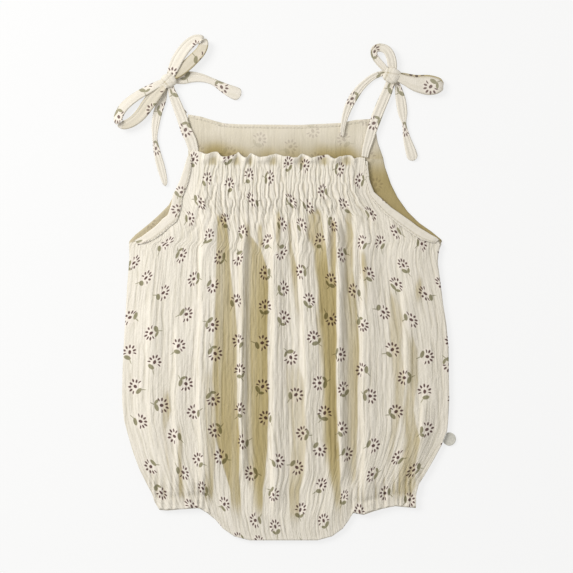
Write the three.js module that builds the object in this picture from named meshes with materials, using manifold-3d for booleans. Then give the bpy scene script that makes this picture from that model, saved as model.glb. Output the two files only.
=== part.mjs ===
// A baby's sleeveless bubble romper in crinkled cotton gauze, laid flat with its front up.
// Millimetres. X runs across the garment, Y from the crotch up to the ties, Z up from the surface it lies on.

import * as THREE from 'three';
import { mergeVertices } from 'three/addons/utils/BufferGeometryUtils.js';
import Module from 'manifold-3d';

const wasm = await Module();
wasm.setup();

// Cloth and seams
const GAP = 0.3;
const BACK_THICK = 1.5;
const FRONT_THICK = 1.5;
const FRONT_THICKEST = 2.8;
const SEAM_LEVEL = BACK_THICK + GAP;
const BINDING_THICK = 0.9;
const LEAF_CLEARANCE = 0.6;
const TIE_THICK = 1.7;

// Levels up the front, measured from the bottom of the crotch
const SHIRRING_TOP = 335;
const SHIRRING_BOTTOM = 300;
const GATHERS_END = 255;
const ARMHOLE_BOTTOM = 268;
const FOLDS_SPREAD = 150;
const ELASTIC_ABOVE_HEM = 10;

// Counts
const SHIRRED_GATHERS = 40;
const HEADING_WAVES = 20;
const LEG_WAVE_LENGTH = 7.2;
const BODY_COLUMNS = 48;
const HEADING_COLUMNS = 60;
const FINE_COLUMNS = 120;
const BACK_COLUMNS = 15;

// Heights of the relief
const GATHER_HEIGHT = 1.7;
const HEADING_HEIGHT = 1.7;
const LEG_WAVE_HEIGHT = 1.5;
const FOLD_RISE = 5;
const PUFF_SIDE = 24;

const CREAM = { color: 0xe9e3d2, roughness: 0.95, metalness: 0 };
const CREAM_SHADE = { color: 0xd9cfb4, roughness: 0.95, metalness: 0 };
const TAB_GREY = { color: 0xcfcfcf, roughness: 0.7, metalness: 0 };

// The front's outline: x at each level y down both edges, armhole first, then side seam to leg hem
const FRONT_LEFT = [
  { y: 351, x: -86.7 }, { y: 343, x: -89.6 }, { y: 332.5, x: -92.7 }, { y: 324, x: -95.5 },
  { y: 316, x: -99.3 }, { y: 310.5, x: -102.0 }, { y: 301.5, x: -103.6 }, { y: 292.5, x: -106.6 },
  { y: 288.9, x: -111.2 }, { y: 282.5, x: -117.5 }, { y: 277.7, x: -123.8 }, { y: 272.7, x: -130.6 },
  { y: 269.2, x: -137.3 }, { y: 267.2, x: -141.8 }, { y: 255, x: -141.1 }, { y: 227, x: -143.3 },
  { y: 205, x: -144.5 }, { y: 179, x: -146.1 }, { y: 157, x: -147.2 }, { y: 135, x: -147.7 },
  { y: 123, x: -147.5 }, { y: 108, x: -146 }, { y: 94.5, x: -142.3 }, { y: 80, x: -138.2 },
  { y: 63.5, x: -132 }, { y: 49, x: -124.7 }, { y: 41.8, x: -120.6 }, { y: 34.5, x: -118.5 },
  { y: 27.3, x: -114.4 },
];
const FRONT_RIGHT = [
  { y: 344, x: 72.6 }, { y: 333.6, x: 73.5 }, { y: 321.6, x: 75.2 }, { y: 312.9, x: 78.8 },
  { y: 306.9, x: 85.6 }, { y: 299.2, x: 94.1 }, { y: 293.1, x: 102.8 }, { y: 287.1, x: 111.4 },
  { y: 281.1, x: 119.2 }, { y: 275.5, x: 128.6 }, { y: 272.2, x: 134.6 }, { y: 268.4, x: 140.2 },
  { y: 260.7, x: 137 }, { y: 249.8, x: 135.9 }, { y: 233.5, x: 138.2 }, { y: 211.7, x: 140.9 },
  { y: 195.3, x: 143.6 }, { y: 173.5, x: 145.7 }, { y: 151.7, x: 145.9 }, { y: 126.6, x: 146.3 },
  { y: 105.8, x: 145.2 }, { y: 98.1, x: 144.4 }, { y: 85.1, x: 139.2 }, { y: 73.1, x: 132.7 },
  { y: 60, x: 125 }, { y: 50.2, x: 118.8 }, { y: 41.5, x: 116.5 }, { y: 29, x: 116.3 },
];
const FRONT_TOP = [
  { x: -87, y: 351 }, { x: -72, y: 348 }, { x: -50, y: 346.5 }, { x: 0, y: 346 },
  { x: 45, y: 345 }, { x: 72.6, y: 344 },
];

// The back's outline: higher at the neck, wider at both armholes
const BACK_LEFT = [
  { y: 383, x: -88.6 }, { y: 346, x: -88.2 }, { y: 332.5, x: -91.5 }, { y: 324, x: -94.3 },
  { y: 316, x: -98 }, { y: 310.5, x: -101.3 }, { y: 301.5, x: -105.8 }, { y: 298.8, x: -108.5 },
  { y: 291.9, x: -115.4 }, { y: 285.7, x: -122.3 }, { y: 280.1, x: -129.2 }, { y: 274.6, x: -136.1 },
  { y: 268.6, x: -141.6 },
];
const BACK_RIGHT = [
  { y: 379, x: 78.6 }, { y: 367.2, x: 80.6 }, { y: 357.8, x: 82.1 }, { y: 344, x: 86.9 },
  { y: 335.3, x: 88.7 }, { y: 319.9, x: 94.1 }, { y: 307.8, x: 100.2 }, { y: 295.7, x: 108.8 },
  { y: 285.4, x: 119.2 }, { y: 277.7, x: 130.3 }, { y: 269.6, x: 140 },
];
const BACK_TOP = [
  { x: -88.6, y: 382.9 }, { x: -77.5, y: 381.1 }, { x: -64.4, y: 377.1 }, { x: -56.3, y: 374.9 },
  { x: -41.9, y: 374 }, { x: 12.2, y: 373.5 }, { x: 48.2, y: 375.3 }, { x: 61.7, y: 378 },
  { x: 78.6, y: 379 },
];

// The bottom edge: left leg hem, crotch with round corners, right leg hem
const BOTTOM = [
  { x: -114.4, y: 27.3 }, { x: -107.2, y: 26.7 }, { x: -92.7, y: 27.9 }, { x: -78.3, y: 28.8 },
  { x: -71, y: 24.3 }, { x: -63.8, y: 18.5 }, { x: -57, y: 10.5 }, { x: -47, y: 3.6 },
  { x: -33, y: 0 }, { x: 28, y: 0 }, { x: 41, y: 3.6 }, { x: 50.5, y: 10.5 },
  { x: 56.3, y: 18.5 }, { x: 59.5, y: 24.5 }, { x: 69.4, y: 22.8 }, { x: 79.2, y: 26.2 },
  { x: 86.9, y: 28.4 }, { x: 97.7, y: 30.6 }, { x: 108.6, y: 29.5 }, { x: 116.3, y: 29 },
];
const LEFT_LEG_INNER = -66;
const RIGHT_LEG_INNER = 58;

// How high the front's inner side stands over the seam level, by level and by distance up from the bottom edge
const PUFF_BY_LEVEL = [
  { y: 351, height: 0.5 }, { y: 335, height: 0.8 }, { y: 300, height: 1.4 }, { y: 255, height: 3 },
  { y: 150, height: 3.8 }, { y: 60, height: 3.2 }, { y: 0, height: 2.6 },
];
const PUFF_ABOVE_HEM = [
  { up: 0, height: 0.6 }, { up: 10, height: 0.7 }, { up: 24, height: 2.6 }, { up: 400, height: 2.8 },
];
const PUFF_ABOVE_CROTCH = [
  { up: 0, height: 0 }, { up: 22, height: 2.6 }, { up: 400, height: 4 },
];

// Folds, left to right: a steep left face up to the crest, then a gentle fall to the right
const FOLDS = [
  { xTop: -122, xMid: -123, xBottom: -120, yTop: 225, yBottom: 75, height: 1.5, fall: 16 },
  { xTop: -99, xMid: -100, xBottom: -97, yTop: 200, yBottom: 50, height: 1.9, fall: 15 },
  { xTop: -74, xMid: -78, xBottom: -76, yTop: 300, yBottom: 35, height: 3.2, fall: 30 },
  { xTop: -38, xMid: -41, xBottom: -40, yTop: 265, yBottom: 80, height: 4.2, fall: 9 },
  { xTop: -11, xMid: -12, xBottom: -12, yTop: 298, yBottom: 22, height: 4.6, fall: 14 },
  { xTop: 8, xMid: 17.5, xBottom: 17, yTop: 300, yBottom: 40, height: 4.6, fall: 14 },
  { xTop: 36.5, xMid: 37, xBottom: 37, yTop: 308, yBottom: 238, height: 3, fall: 6 },
  { xTop: 46, xMid: 46.5, xBottom: 49, yTop: 300, yBottom: 42, height: 5, fall: 11 },
  { xTop: 60.8, xMid: 61, xBottom: 61, yTop: 302, yBottom: 205, height: 2.8, fall: 8 },
  { xTop: 68, xMid: 69, xBottom: 70, yTop: 290, yBottom: 32, height: 4.8, fall: 22 },
  { xTop: 104, xMid: 108, xBottom: 107, yTop: 235, yBottom: 130, height: 3.2, fall: 14 },
  { xTop: 124, xMid: 121, xBottom: 114, yTop: 135, yBottom: 40, height: 2.6, fall: 13 },
];
const FOLD_END = 26;

// Levels of the rows, as shares of the way from the top edge down to the bottom edge
const HEADING_ROWS = [0, 0.017, 0.035];
const YOKE_ROWS = [0.062, 0.09, 0.118, 0.146];
const ARMHOLE_ROWS = [0.166, 0.184, 0.2, 0.215, 0.23, 0.243, 0.251, 0.262];
const BODY_ROWS = [0.3, 0.35, 0.41, 0.47, 0.53, 0.59, 0.64, 0.69, 0.735, 0.78, 0.825, 0.87, 0.905, 0.93];
const HEM_ROWS = [0.95, 0.968, 0.984, 1];

// Widths of the armhole bindings at each level
const LEFT_BINDING = [
  { y: 344, width: 6 }, { y: 332, width: 7.6 }, { y: 310, width: 9 }, { y: 292, width: 10.2 }, { y: 269.6, width: 9 },
];
const RIGHT_BINDING = [
  { y: 338, width: 3 }, { y: 318, width: 4.2 }, { y: 307, width: 7.5 }, { y: 290, width: 9.5 }, { y: 270.6, width: 9 },
];
const BINDING_STATIONS = 18;

// Bows: the knot, then the ties as rows along the middle of the strip, z being the strip's mid height.
// An axis, where one is given, is the direction across the strip: a plan angle and a lean up from the surface.
const BOWS = [
  {
    name: 'left',
    knot: { x: -105.8, y: 413.3, z: 3.4, acrossX: 14, acrossY: 12.5, height: 7.4 },
    loops: [
      {
        name: 'loop_upper', axis: { plan: 135, lean: 32 }, rows: [
          { x: -105, y: 415, z: 4.2, width: 5 }, { x: -102.6, y: 421, z: 4.2, width: 7 },
          { x: -97.7, y: 431.6, z: 3.8, width: 9 }, { x: -90.5, y: 441.8, z: 3.8, width: 9.6 },
          { x: -83.2, y: 448.2, z: 3.8, width: 9 }, { x: -77.6, y: 450, z: 4, width: 8 },
          { x: -75, y: 446.6, z: 4.2, width: 8 }, { x: -77.8, y: 440.2, z: 4.4, width: 8.6 },
          { x: -84.6, y: 433.4, z: 4.6, width: 8.6 }, { x: -91.8, y: 426.6, z: 4.4, width: 7.6 },
          { x: -98, y: 419.8, z: 4.2, width: 5.4 }, { x: -101.6, y: 416.4, z: 3.8, width: 4 },
        ],
      },
      {
        name: 'loop_lower', axis: { plan: 130, lean: 30 }, rows: [
          { x: -107, y: 412.8, z: 2.4, width: 4 }, { x: -113.6, y: 410.6, z: 2.6, width: 5 },
          { x: -122.9, y: 405.6, z: 3, width: 6.4 }, { x: -134.6, y: 399, z: 3.4, width: 7.2 },
          { x: -144.9, y: 390.6, z: 3.6, width: 7.6 }, { x: -151, y: 382, z: 3.8, width: 7.6 },
          { x: -151.4, y: 375.4, z: 4, width: 7.6 }, { x: -146.4, y: 373, z: 4, width: 7.8 },
          { x: -139.1, y: 375.6, z: 3.8, width: 8 }, { x: -131.8, y: 382.1, z: 3.6, width: 8.6 },
          { x: -126, y: 390.6, z: 3.4, width: 9 }, { x: -120, y: 398.7, z: 4, width: 8.4 },
          { x: -112.6, y: 406, z: 4.4, width: 5.4 }, { x: -107.6, y: 411, z: 4.2, width: 4 },
        ],
      },
    ],
    strips: [
      {
        name: 'tail_down', rows: [
          { x: -107.2, y: 411, z: 1, width: 3.6 }, { x: -109.2, y: 405, z: 1, width: 4.6 },
          { x: -111.8, y: 396, z: 1, width: 7.4 }, { x: -115.4, y: 386, z: 1, width: 8 },
          { x: -117.9, y: 373.5, z: 1, width: 7.4 }, { x: -118.4, y: 361, z: 1, width: 6 },
          { x: -116.4, y: 349.2, z: 1, width: 6.6 }, { x: -113.2, y: 336.6, z: 1, width: 6.8 },
          { x: -110.4, y: 326, z: 1, width: 5.4 }, { x: -108.9, y: 318.6, z: 1, width: 3 },
        ],
      },
      {
        name: 'tail_side', rows: [
          { x: -103.4, y: 413.6, z: 1, width: 5 }, { x: -98.2, y: 414.6, z: 1, width: 8 },
          { x: -92.2, y: 415.8, z: 1, width: 10.4 }, { x: -85.2, y: 416.6, z: 1, width: 10 },
          { x: -75.5, y: 415.6, z: 1, width: 8.6 }, { x: -65.7, y: 412.2, z: 1, width: 7.4 },
          { x: -56.2, y: 406.8, z: 1, width: 9.4 }, { x: -48.1, y: 402.8, z: 1, width: 10.8 },
          { x: -41, y: 400, z: 1, width: 10.4 },
        ],
      },
      {
        name: 'strap_front', rows: [
          { x: -104.4, y: 411, z: 3, width: 4.4 }, { x: -102.4, y: 404, z: 3, width: 5 },
          { x: -98.1, y: 391.5, z: 3.1, width: 7 }, { x: -92.8, y: 378.6, z: 3.3, width: 8.2 },
          { x: -88.6, y: 367.2, z: 3.6, width: 8.2 }, { x: -84.6, y: 357.4, z: 4, width: 7.2 },
          { x: -83.2, y: 351.8, z: 4.2, width: 6.6 },
        ],
      },
      {
        name: 'strap_back', rows: [
          { x: -103.8, y: 411, z: 1, width: 3.2 }, { x: -101.6, y: 403, z: 1, width: 4.4 },
          { x: -96.6, y: 392, z: 1, width: 5.6 }, { x: -89.4, y: 382.9, z: 1, width: 6 },
        ],
      },
    ],
  },
  {
    name: 'right',
    knot: { x: 94.7, y: 417.8, z: 3.8, acrossX: 16, acrossY: 15, height: 8.4 },
    loops: [
      {
        name: 'loop_upper', axis: { plan: 15, lean: 30 }, rows: [
          { x: 92, y: 420, z: 4.4, width: 5 }, { x: 86.8, y: 425.4, z: 4.4, width: 6.4 },
          { x: 82, y: 431, z: 4, width: 7 }, { x: 79.6, y: 436.4, z: 3.6, width: 7 },
          { x: 80, y: 440.8, z: 3.8, width: 7.6 }, { x: 84.2, y: 442.4, z: 4, width: 8 },
          { x: 89.6, y: 440, z: 4.2, width: 9 }, { x: 93, y: 433.8, z: 4.2, width: 10 },
          { x: 95, y: 426.6, z: 3.8, width: 9 }, { x: 95.4, y: 421, z: 3, width: 6 },
        ],
      },
      {
        name: 'loop_side', axis: { plan: 90, lean: 14 }, rows: [
          { x: 98, y: 418, z: 3.6, width: 5.6 }, { x: 104.6, y: 414.6, z: 3.5, width: 6.6 },
          { x: 113, y: 411.4, z: 2.6, width: 8 }, { x: 122.9, y: 409.8, z: 1.9, width: 9 },
          { x: 132, y: 409, z: 2.2, width: 10 }, { x: 138.2, y: 407.4, z: 3.6, width: 9 },
          { x: 136.4, y: 405, z: 5.2, width: 9 }, { x: 129.4, y: 404.6, z: 5.6, width: 9.6 },
          { x: 121, y: 406, z: 5.7, width: 9 }, { x: 112, y: 409.2, z: 6, width: 8 },
          { x: 104, y: 412.6, z: 6.4, width: 6.4 }, { x: 98, y: 416.4, z: 6.4, width: 5 },
        ],
      },
    ],
    strips: [
      {
        name: 'tail_left', rows: [
          { x: 90, y: 420.6, z: 1, width: 4 }, { x: 85, y: 419.6, z: 1, width: 5 },
          { x: 77, y: 416.2, z: 1, width: 6.4 }, { x: 68, y: 408.6, z: 1, width: 7.2 },
          { x: 61.2, y: 399.8, z: 1.3, width: 7.6 }, { x: 56.4, y: 391, z: 2, width: 7.4 },
          { x: 53, y: 381.6, z: 2.8, width: 7 }, { x: 50.9, y: 372, z: 2.9, width: 6.4 },
          { x: 50, y: 362.6, z: 2.9, width: 4.6 },
        ],
      },
      {
        name: 'tail_down', rows: [
          { x: 98, y: 413.6, z: 1, width: 4 }, { x: 100.2, y: 407.6, z: 1, width: 5.4 },
          { x: 102.8, y: 396, z: 1, width: 8.4 }, { x: 105, y: 384, z: 1, width: 7.6 },
          { x: 106, y: 374, z: 1, width: 5.4 }, { x: 108.2, y: 362, z: 1, width: 7.2 },
          { x: 111.8, y: 350, z: 1, width: 9.2 }, { x: 113.9, y: 342.6, z: 1, width: 8.6 },
        ],
      },
      {
        name: 'strap_front', rows: [
          { x: 93.6, y: 414, z: 3, width: 6.6 }, { x: 91, y: 405, z: 3, width: 8 },
          { x: 86, y: 391.1, z: 3.1, width: 8.4 }, { x: 80.6, y: 378, z: 3.4, width: 8.6 },
          { x: 77, y: 368.1, z: 3.8, width: 8.2 }, { x: 72.8, y: 358.2, z: 4, width: 7 },
          { x: 69.8, y: 345.6, z: 3.4, width: 5.6 },
        ],
      },
      {
        name: 'strap_back', rows: [
          { x: 93.6, y: 414, z: 1, width: 5 }, { x: 90.6, y: 405, z: 1, width: 6 },
          { x: 86, y: 393.6, z: 1, width: 6.6 }, { x: 79.9, y: 379.2, z: 1, width: 7 },
        ],
      },
    ],
  },
];
const KNOT_SIDES = 16;
const KNOT_RINGS = 10;

const SIDE_TAB = { x: 146.4, y: 90.9, radius: 6, thick: 1.2, sides: 32 };

// Small tools

function along(table, key, value, at) {
  const rising = table[table.length - 1][key] > table[0][key];
  const rows = rising ? table : [...table].reverse();
  if (at <= rows[0][key]) return rows[0][value];
  for (let i = 1; i < rows.length; i += 1) {
    const low = rows[i - 1];
    const high = rows[i];
    if (at <= high[key]) {
      return THREE.MathUtils.mapLinear(at, low[key], high[key], low[value], high[value]);
    }
  }
  return rows[rows.length - 1][value];
}

const { lerp, smoothstep, degToRad } = THREE.MathUtils;

function closedMesh(name, points, faces, look) {
  const geometry = new THREE.BufferGeometry();
  geometry.setAttribute('position', new THREE.Float32BufferAttribute(points.flatMap((p) => p.toArray()), 3));
  geometry.setIndex(faces.flat());
  return namedMesh(name, geometry, look);
}

function namedMesh(name, geometry, look) {
  const shown = geometry.index ? geometry.toNonIndexed() : geometry;
  shown.computeVertexNormals();
  const mesh = new THREE.Mesh(shown, new THREE.MeshStandardMaterial(look));
  mesh.name = name;
  return mesh;
}

// Joins two rows of numbered points, each with its share across, into a band of triangles
function zip(faces, a, b, turned) {
  let p = 0;
  let q = 0;
  while (p < a.length - 1 || q < b.length - 1) {
    const onA = q === b.length - 1 || (p < a.length - 1 && a[p + 1].share <= b[q + 1].share + 1e-6);
    const face = onA ? [a[p].index, b[q].index, a[p + 1].index] : [a[p].index, b[q].index, b[q + 1].index];
    faces.push(turned ? [face[0], face[2], face[1]] : face);
    if (onA) p += 1;
    else q += 1;
  }
}

// A wall between an upper and a lower skin. Each row is { upper, lower }, lists of { point, share }.
function clothWall(name, rows, look) {
  const points = [];
  const faces = [];
  const numbered = (skin) => skin.map(({ point, share }) => {
    points.push(point);
    return { index: points.length - 1, share };
  });
  const skins = rows.map((row) => ({ upper: numbered(row.upper), lower: numbered(row.lower) }));
  for (let i = 1; i < skins.length; i += 1) {
    zip(faces, skins[i - 1].upper, skins[i].upper, false);
    zip(faces, skins[i - 1].lower, skins[i].lower, true);
  }
  zip(faces, skins[0].upper, skins[0].lower, true);
  zip(faces, skins[skins.length - 1].upper, skins[skins.length - 1].lower, false);
  const edge = (skin, end) => skins.map((row, i) => ({ index: row[skin].at(end).index, share: i }));
  zip(faces, edge('upper', 0), edge('lower', 0), false);
  zip(faces, edge('upper', -1), edge('lower', -1), true);
  return closedMesh(name, points, faces, look);
}

// A strip swept through rings of the same number of points
function ringStrip(name, rings, look) {
  const points = rings.flat();
  const sides = rings[0].length;
  const faces = [];
  for (let r = 1; r < rings.length; r += 1) {
    for (let s = 0; s < sides; s += 1) {
      const next = (s + 1) % sides;
      const a = (r - 1) * sides + s;
      const b = (r - 1) * sides + next;
      const c = r * sides + s;
      const d = r * sides + next;
      faces.push([a, b, c], [b, d, c]);
    }
  }
  const last = (rings.length - 1) * sides;
  for (let s = 1; s < sides - 1; s += 1) {
    faces.push([0, s + 1, s], [last, last + s, last + s + 1]);
  }
  return closedMesh(name, points, faces, look);
}

function solidOf(mesh) {
  const bare = mesh.geometry.clone();
  bare.deleteAttribute('normal');
  bare.deleteAttribute('uv');
  const merged = mergeVertices(bare, 1e-4);
  return new wasm.Manifold(new wasm.Mesh({
    numProp: 3,
    vertProperties: new Float32Array(merged.attributes.position.array),
    triVerts: new Uint32Array(merged.index.array),
  }));
}

function cutAway(mesh, cutter) {
  const cut = solidOf(mesh).subtract(solidOf(cutter)).getMesh();
  const geometry = new THREE.BufferGeometry();
  geometry.setAttribute('position', new THREE.BufferAttribute(cut.vertProperties, 3));
  geometry.setIndex(new THREE.BufferAttribute(cut.triVerts, 1));
  const result = namedMesh(mesh.name, geometry, {});
  result.material = mesh.material;
  return result;
}

// The front's form

const leftEdge = (y) => along(FRONT_LEFT, 'y', 'x', y);
const rightEdge = (y) => along(FRONT_RIGHT, 'y', 'x', y);
const bottomEdge = (x) => along(BOTTOM, 'x', 'y', x);
const isLeg = (x) => x < LEFT_LEG_INNER || x > RIGHT_LEG_INNER;

function foldHeight(x, y) {
  let height = 0;
  for (const fold of FOLDS) {
    if (y > fold.yTop || y < fold.yBottom) continue;
    const middle = (fold.yTop + fold.yBottom) / 2;
    const crest = y > middle
      ? THREE.MathUtils.mapLinear(y, fold.yTop, middle, fold.xTop, fold.xMid)
      : THREE.MathUtils.mapLinear(y, middle, fold.yBottom, fold.xMid, fold.xBottom);
    const ends = smoothstep(fold.yTop - y, 0, FOLD_END) * smoothstep(y - fold.yBottom, 0, FOLD_END);
    const across = x < crest
      ? 1 - smoothstep(crest - x, 0, FOLD_RISE)
      : 1 - smoothstep(x - crest, 0, fold.fall);
    height = Math.max(height, fold.height * ends * across);
  }
  return height;
}

function frontInner(x, y) {
  const fromSide = Math.min(x - leftEdge(y), rightEdge(y) - x);
  const up = y - bottomEdge(x);
  const byHem = isLeg(x) ? along(PUFF_ABOVE_HEM, 'up', 'height', up) : along(PUFF_ABOVE_CROTCH, 'up', 'height', up);
  const puff = Math.min(along(PUFF_BY_LEVEL, 'y', 'height', y), byHem) * smoothstep(fromSide, 0, PUFF_SIDE);
  return SEAM_LEVEL + puff + foldHeight(x, y) * smoothstep(fromSide, 6, PUFF_SIDE);
}

const awayFromEdges = (share) => smoothstep(share, 0.05, 0.1) * smoothstep(1 - share, 0.04, 0.08);

function headingWave(share, y) {
  const free = smoothstep(y, SHIRRING_TOP - 2, SHIRRING_TOP + 8) * awayFromEdges(share);
  return HEADING_HEIGHT * free * (0.5 - 0.5 * Math.cos(share * HEADING_WAVES * 2 * Math.PI));
}

function legWave(x, y) {
  if (!isLeg(x)) return 0;
  const up = y - bottomEdge(x);
  const ruffle = 1 - smoothstep(up, ELASTIC_ABOVE_HEM - 4, ELASTIC_ABOVE_HEM + 16);
  const inner = Math.min(Math.abs(x - LEFT_LEG_INNER), Math.abs(x - RIGHT_LEG_INNER));
  const wave = 0.5 - 0.5 * Math.cos((x / LEG_WAVE_LENGTH) * 2 * Math.PI);
  return LEG_WAVE_HEIGHT * ruffle * wave * smoothstep(inner, 0, 6);
}

function gatherRelief(share, y) {
  const shirred = smoothstep(y, GATHERS_END, SHIRRING_BOTTOM) * (1 - smoothstep(y, SHIRRING_TOP, SHIRRING_TOP + 6));
  return GATHER_HEIGHT * shirred * awayFromEdges(share) * (0.5 - 0.5 * Math.cos(share * SHIRRED_GATHERS * 2 * Math.PI));
}

function frontOuter(x, y, share) {
  const step = 1.5;
  const slope = (frontInner(x + step, y) - frontInner(x - step, y)) / (2 * step);
  const thick = Math.min(FRONT_THICK * Math.hypot(1, slope), FRONT_THICKEST);
  return frontInner(x, y) + thick + gatherRelief(share, y);
}

// Where the binding wraps the armhole, the front's own edge stands back from the outline
const EDGE_INSET = [
  { y: 351, inset: 2 }, { y: 320, inset: 2.1 }, { y: 312, inset: 3.6 }, { y: 300, inset: 3.2 },
  { y: 288, inset: 3 }, { y: 276, inset: 3.8 }, { y: 269.6, inset: 5.4 }, { y: 267.6, inset: 2.4 },
  { y: 266.4, inset: 0 },
];
const edgeInset = (y) => along(EDGE_INSET, 'y', 'inset', y);
const innerLeft = (y) => leftEdge(y) + edgeInset(y);
const innerRight = (y) => rightEdge(y) - edgeInset(y);

// The gathers hang straight down from the shirring in the middle of the front, and spread lower down
function columnX(share, y, topX) {
  const straight = smoothstep(y, FOLDS_SPREAD, ARMHOLE_BOTTOM) * (1 - Math.abs(2 * share - 1) ** 3);
  return lerp(lerp(innerLeft(y), innerRight(y), share), topX, straight);
}

function shareAt(x, y) {
  return (x - innerLeft(y)) / (innerRight(y) - innerLeft(y));
}

function frontPanel() {
  const levels = [...HEADING_ROWS, ...YOKE_ROWS, ...ARMHOLE_ROWS, ...BODY_ROWS, ...HEM_ROWS];
  const heading = new Set(HEADING_ROWS);
  const fine = new Set([...HEADING_ROWS, ...YOKE_ROWS, ...HEM_ROWS]);
  const rows = levels.map((level) => {
    const skin = (columns, outer) => Array.from({ length: columns + 1 }, (_, c) => {
      const share = c / columns;
      const topX = lerp(leftEdge(351), rightEdge(344), share);
      const bottomX = lerp(leftEdge(27.3), rightEdge(29), share);
      const y = lerp(along(FRONT_TOP, 'x', 'y', topX), bottomEdge(bottomX), level);
      const x = columnX(share, y, topX);
      const wave = headingWave(share, y) + legWave(x, y);
      const z = (outer ? frontOuter(x, y, share) : frontInner(x, y)) + wave;
      return { point: new THREE.Vector3(x, y, z), share };
    });
    const upper = skin(fine.has(level) ? FINE_COLUMNS : BODY_COLUMNS, true);
    return { upper, lower: skin(heading.has(level) ? HEADING_COLUMNS : BODY_COLUMNS, false) };
  });
  return clothWall('front_panel', rows, CREAM);
}

// The back lies under the front, flat on the surface

function backPanel() {
  const left = [...BACK_LEFT, ...FRONT_LEFT.filter(({ y }) => y < 262)];
  const right = [...BACK_RIGHT, ...FRONT_RIGHT.filter(({ y }) => y < 262)];
  const levels = [
    0, 0.05, 0.09, 0.13, 0.165, 0.195, 0.215, 0.235, 0.255, 0.275, 0.295, 0.314, 0.33, 0.37, 0.43, 0.5, 0.57, 0.63,
    0.68, 0.72, 0.76, 0.8, 0.84, 0.88, 0.91, 0.94, 0.97, 1,
  ];
  const rows = levels.map((level) => {
    const columns = level > 0.93 ? BODY_COLUMNS : BACK_COLUMNS;
    const skin = (z) => Array.from({ length: columns + 1 }, (_, c) => {
      const share = c / columns;
      const topX = lerp(left[0].x, right[0].x, share);
      const bottomX = lerp(left.at(-1).x, right.at(-1).x, share);
      const y = lerp(along(BACK_TOP, 'x', 'y', topX), bottomEdge(bottomX), level);
      const x = lerp(along(left, 'y', 'x', y), along(right, 'y', 'x', y), share);
      return { point: new THREE.Vector3(x, y, z), share };
    });
    return { upper: skin(BACK_THICK), lower: skin(0) };
  });
  return clothWall('back_panel', rows, CREAM_SHADE);
}

// A binding strip: its bead wraps the armhole edge and its leaf lies on the front panel
function binding(name, edge, widths, side) {
  const top = widths[0].y;
  const end = widths.at(-1).y;
  const rings = Array.from({ length: BINDING_STATIONS + 1 }, (_, i) => {
    const y = lerp(top, end, i / BINDING_STATIONS);
    const here = new THREE.Vector2(along(edge, 'y', 'x', y), y);
    const above = new THREE.Vector2(along(edge, 'y', 'x', y + 4), y + 4);
    const below = new THREE.Vector2(along(edge, 'y', 'x', y - 4), y - 4);
    const run = below.sub(above).normalize();
    const inward = new THREE.Vector2(-run.y, run.x).multiplyScalar(side);
    const width = along(widths, 'y', 'width', y);
    const at = (inset, height) => {
      const p = here.clone().addScaledVector(inward, inset);
      const share = shareAt(p.x, p.y);
      const outer = frontOuter(p.x, p.y, share) + headingWave(share, p.y);
      return new THREE.Vector3(p.x, p.y, height === null ? SEAM_LEVEL : outer + height);
    };
    const leaf = LEAF_CLEARANCE + BINDING_THICK;
    const ring = [
      at(0, null), at(BINDING_THICK, null), at(BINDING_THICK, LEAF_CLEARANCE),
      at(width * 0.55, LEAF_CLEARANCE), at(width, LEAF_CLEARANCE),
      at(width, leaf), at(width * 0.55, leaf), at(BINDING_THICK, leaf + 0.1), at(0.1, leaf - 0.5),
    ];
    return side > 0 ? ring : ring.reverse();
  });
  return ringStrip(name, rings, CREAM);
}

// A strip of tie cloth: a flat six-sided section swept along the rows
function tieStrip(name, rows, axis, steps) {
  const path = new THREE.CatmullRomCurve3(rows.map(({ x, y, z }) => new THREE.Vector3(x, y, z)), false, 'centripetal');
  const up = new THREE.Vector3(0, 0, 1);
  const rings = Array.from({ length: steps + 1 }, (_, i) => {
    const t = i / steps;
    const centre = path.getPoint(t);
    const run = path.getTangent(t);
    const row = t * (rows.length - 1);
    const low = Math.min(Math.floor(row), rows.length - 2);
    const width = lerp(rows[low].width, rows[low + 1].width, row - low);
    const across = axis
      ? new THREE.Vector3(Math.cos(axis.plan) * Math.cos(axis.lean), Math.sin(axis.plan) * Math.cos(axis.lean), Math.sin(axis.lean))
      : up.clone().cross(run);
    across.addScaledVector(run, -across.dot(run)).normalize();
    const out = run.clone().cross(across).normalize();
    return [[-0.5, 0], [-0.4, -0.5], [0.4, -0.5], [0.5, 0], [0.4, 0.5], [-0.4, 0.5]].map(([w, h]) => {
      const p = centre.clone().addScaledVector(across, w * width).addScaledVector(out, h * TIE_THICK);
      return p.setZ(Math.max(p.z, 0));
    });
  });
  return ringStrip(name, rings, CREAM);
}

function knotLump(name, knot, grow) {
  const geometry = new THREE.SphereGeometry(0.5, KNOT_SIDES, KNOT_RINGS);
  geometry.deleteAttribute('uv');
  geometry.deleteAttribute('normal');
  geometry.rotateX(Math.PI / 2);
  geometry.scale(knot.acrossX + 2 * grow, knot.acrossY + 2 * grow, knot.height + 2 * grow);
  geometry.translate(knot.x, knot.y, knot.z);
  const lump = mergeVertices(geometry, 1e-4);
  const places = lump.attributes.position;
  for (let i = 0; i < places.count; i += 1) places.setZ(i, Math.max(places.getZ(i), -grow));
  return namedMesh(name, lump, CREAM);
}

function bow({ name, knot, loops, strips }) {
  const cutter = knotLump('cutter', knot, GAP);
  const pieces = [knotLump(`knot_${name}`, knot, 0)];
  for (const loop of loops) {
    const axis = { plan: degToRad(loop.axis.plan), lean: degToRad(loop.axis.lean) };
    const steps = (loop.rows.length - 1) * 2;
    pieces.push(cutAway(tieStrip(`${loop.name}_${name}`, loop.rows, axis, steps), cutter));
  }
  for (const strip of strips) {
    const steps = strip.rows.length + 3;
    pieces.push(cutAway(tieStrip(`${strip.name}_${name}`, strip.rows, null, steps), cutter));
  }
  return pieces;
}

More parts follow.
